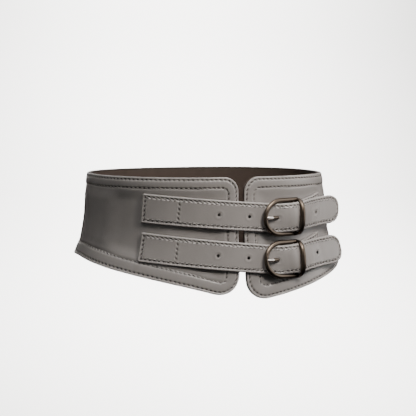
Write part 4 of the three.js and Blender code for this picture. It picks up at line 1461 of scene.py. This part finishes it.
class BELT_OT_stage(bpy.types.Operator):
    """Set the pale backdrop, the soft lights and the camera"""

    bl_idname = "belt.stage"
    bl_label = "Set Stage"

    def execute(self, context):
        scene = context.scene
        self.backdrop(scene)
        for name, settings in LIGHTS.items():
            self.light(name, *settings)
        self.camera(scene)
        return {"FINISHED"}

    def backdrop(self, scene):
        """A pale paper sweep: a level floor far below the belt, a quarter turn, and a wall behind it."""
        turn = np.linspace(0.0, math.pi / 2, SWEEP_STEPS)
        ahead = np.concatenate(([PAPER_FROM], SWEEP_FROM + SWEEP * np.sin(turn), [WALL_AT]))[:, None]
        height = np.concatenate(([FLOOR], FLOOR + SWEEP * (1 - np.cos(turn)), [WALL_TOP]))[:, None]
        across = np.linspace(-PAPER_HALF, PAPER_HALF, 5)[None, :]
        grid = np.stack(np.broadcast_arrays(across, ahead, height), axis=-1)
        numbers = np.arange(grid.shape[0] * grid.shape[1]).reshape(grid.shape[:2])
        backdrop = new_object("backdrop", grid.reshape(-1, 3), grid_faces(numbers).tolist())
        material = bpy.data.materials.new("matt paper")
        material.use_nodes = True
        shader = material.node_tree.nodes["Principled BSDF"]
        shader.inputs["Base Color"].default_value = toned(scene.belt_looks.paper)
        shader.inputs["Roughness"].default_value = 0.9
        backdrop.data.materials.append(material)
        # The paper stays out of the leather's and the metal's light, which keeps the shadows deep
        backdrop.visible_diffuse = False
        backdrop.visible_glossy = False
        # The sky is set on the scene first, because its visibility can't be set before that
        world = bpy.data.worlds.new("pale sky")
        scene.world = world
        world.use_nodes = True
        background = world.node_tree.nodes["Background"]
        background.inputs["Color"].default_value = (1.0, 1.0, 1.0, 1.0)
        background.inputs["Strength"].default_value = SKY_STRENGTH
        world.cycles_visibility.diffuse = False
        world.cycles_visibility.glossy = False

    def light(self, name, place, aim, size, power, colour, spread):
        """A square softbox that looks at a point."""
        data = bpy.data.lights.new(name, "AREA")
        data.size = size
        data.spread = math.radians(spread)
        data.energy = power
        data.color = linear(colour)[:3]
        lamp = bpy.data.objects.new(name, data)
        lamp.location = place
        lamp.rotation_mode = "QUATERNION"
        lamp.rotation_quaternion = (Vector(aim) - Vector(place)).to_track_quat("-Z", "Y")
        lamp.visible_camera = False
        bpy.context.scene.collection.objects.link(lamp)

    def camera(self, scene):
        """A long lens at the photograph's angle: a little to the wearer's right and just above."""
        azimuth, elevation, roll = (math.radians(angle) for angle in (AZIMUTH, ELEVATION, ROLL))
        right = Vector((math.cos(azimuth), math.sin(azimuth), 0.0))
        level = Vector((math.sin(azimuth), -math.cos(azimuth), 0.0))
        back = level * math.cos(elevation) + Vector((0.0, 0.0, math.sin(elevation)))
        up = back.cross(right)
        place = right * CAMERA_RIGHT + up * CAMERA_UP + back * CAMERA_BACK
        across = right * math.cos(roll) + up * math.sin(roll)
        above = up * math.cos(roll) - right * math.sin(roll)
        data = bpy.data.cameras.new("camera")
        data.lens = LENS
        data.sensor_width = SENSOR
        camera = bpy.data.objects.new("camera", data)
        turn = Matrix((across, above, back)).transposed().to_4x4()
        camera.matrix_world = Matrix.Translation(place) @ turn
        scene.collection.objects.link(camera)
        scene.camera = camera


class BELT_PT_panel(bpy.types.Panel):
    """Sizes, colours and the steps that build the belt"""

    bl_label = "Wide Waist Belt"
    bl_idname = "BELT_PT_panel"
    bl_space_type = "VIEW_3D"
    bl_region_type = "UI"
    bl_category = "Belt"

    def draw(self, context):
        for group in GROUPS:
            box = self.layout.box()
            box.label(text=group.__doc__)
            for name in group.__annotations__:
                box.prop(getattr(context.scene, group_name(group)), name)
        for step in STEPS:
            self.layout.operator(step.bl_idname)


GROUPS = (BeltWaist, BeltWrap, BeltBorder, BeltStrap, BeltBuckle, BeltTab, BeltStitch, BeltLooks)
STEPS = (BELT_OT_stage, BELT_OT_wrap, BELT_OT_border, BELT_OT_straps, BELT_OT_buckles, BELT_OT_tabs)


def group_name(group):
    """Name of a group's settings on the scene."""
    return "belt_" + group.__name__.removeprefix("Belt").lower()


def register():
    """Registers the classes and hangs the settings on the scene."""
    for item in GROUPS + STEPS + (BELT_PT_panel,):
        bpy.utils.register_class(item)
    for group in GROUPS:
        setattr(bpy.types.Scene, group_name(group), PointerProperty(type=group))


def unregister():
    """Takes away what register added."""
    for group in GROUPS:
        delattr(bpy.types.Scene, group_name(group))
    for item in reversed(GROUPS + STEPS + (BELT_PT_panel,)):
        bpy.utils.unregister_class(item)


def main():
    """Builds the whole scene."""
    register()
    bpy.ops.belt.stage()
    bpy.ops.belt.wrap()
    bpy.ops.belt.border()
    bpy.ops.belt.straps()
    bpy.ops.belt.buckles()
    bpy.ops.belt.tabs()


if __name__ == "__main__":
    main()
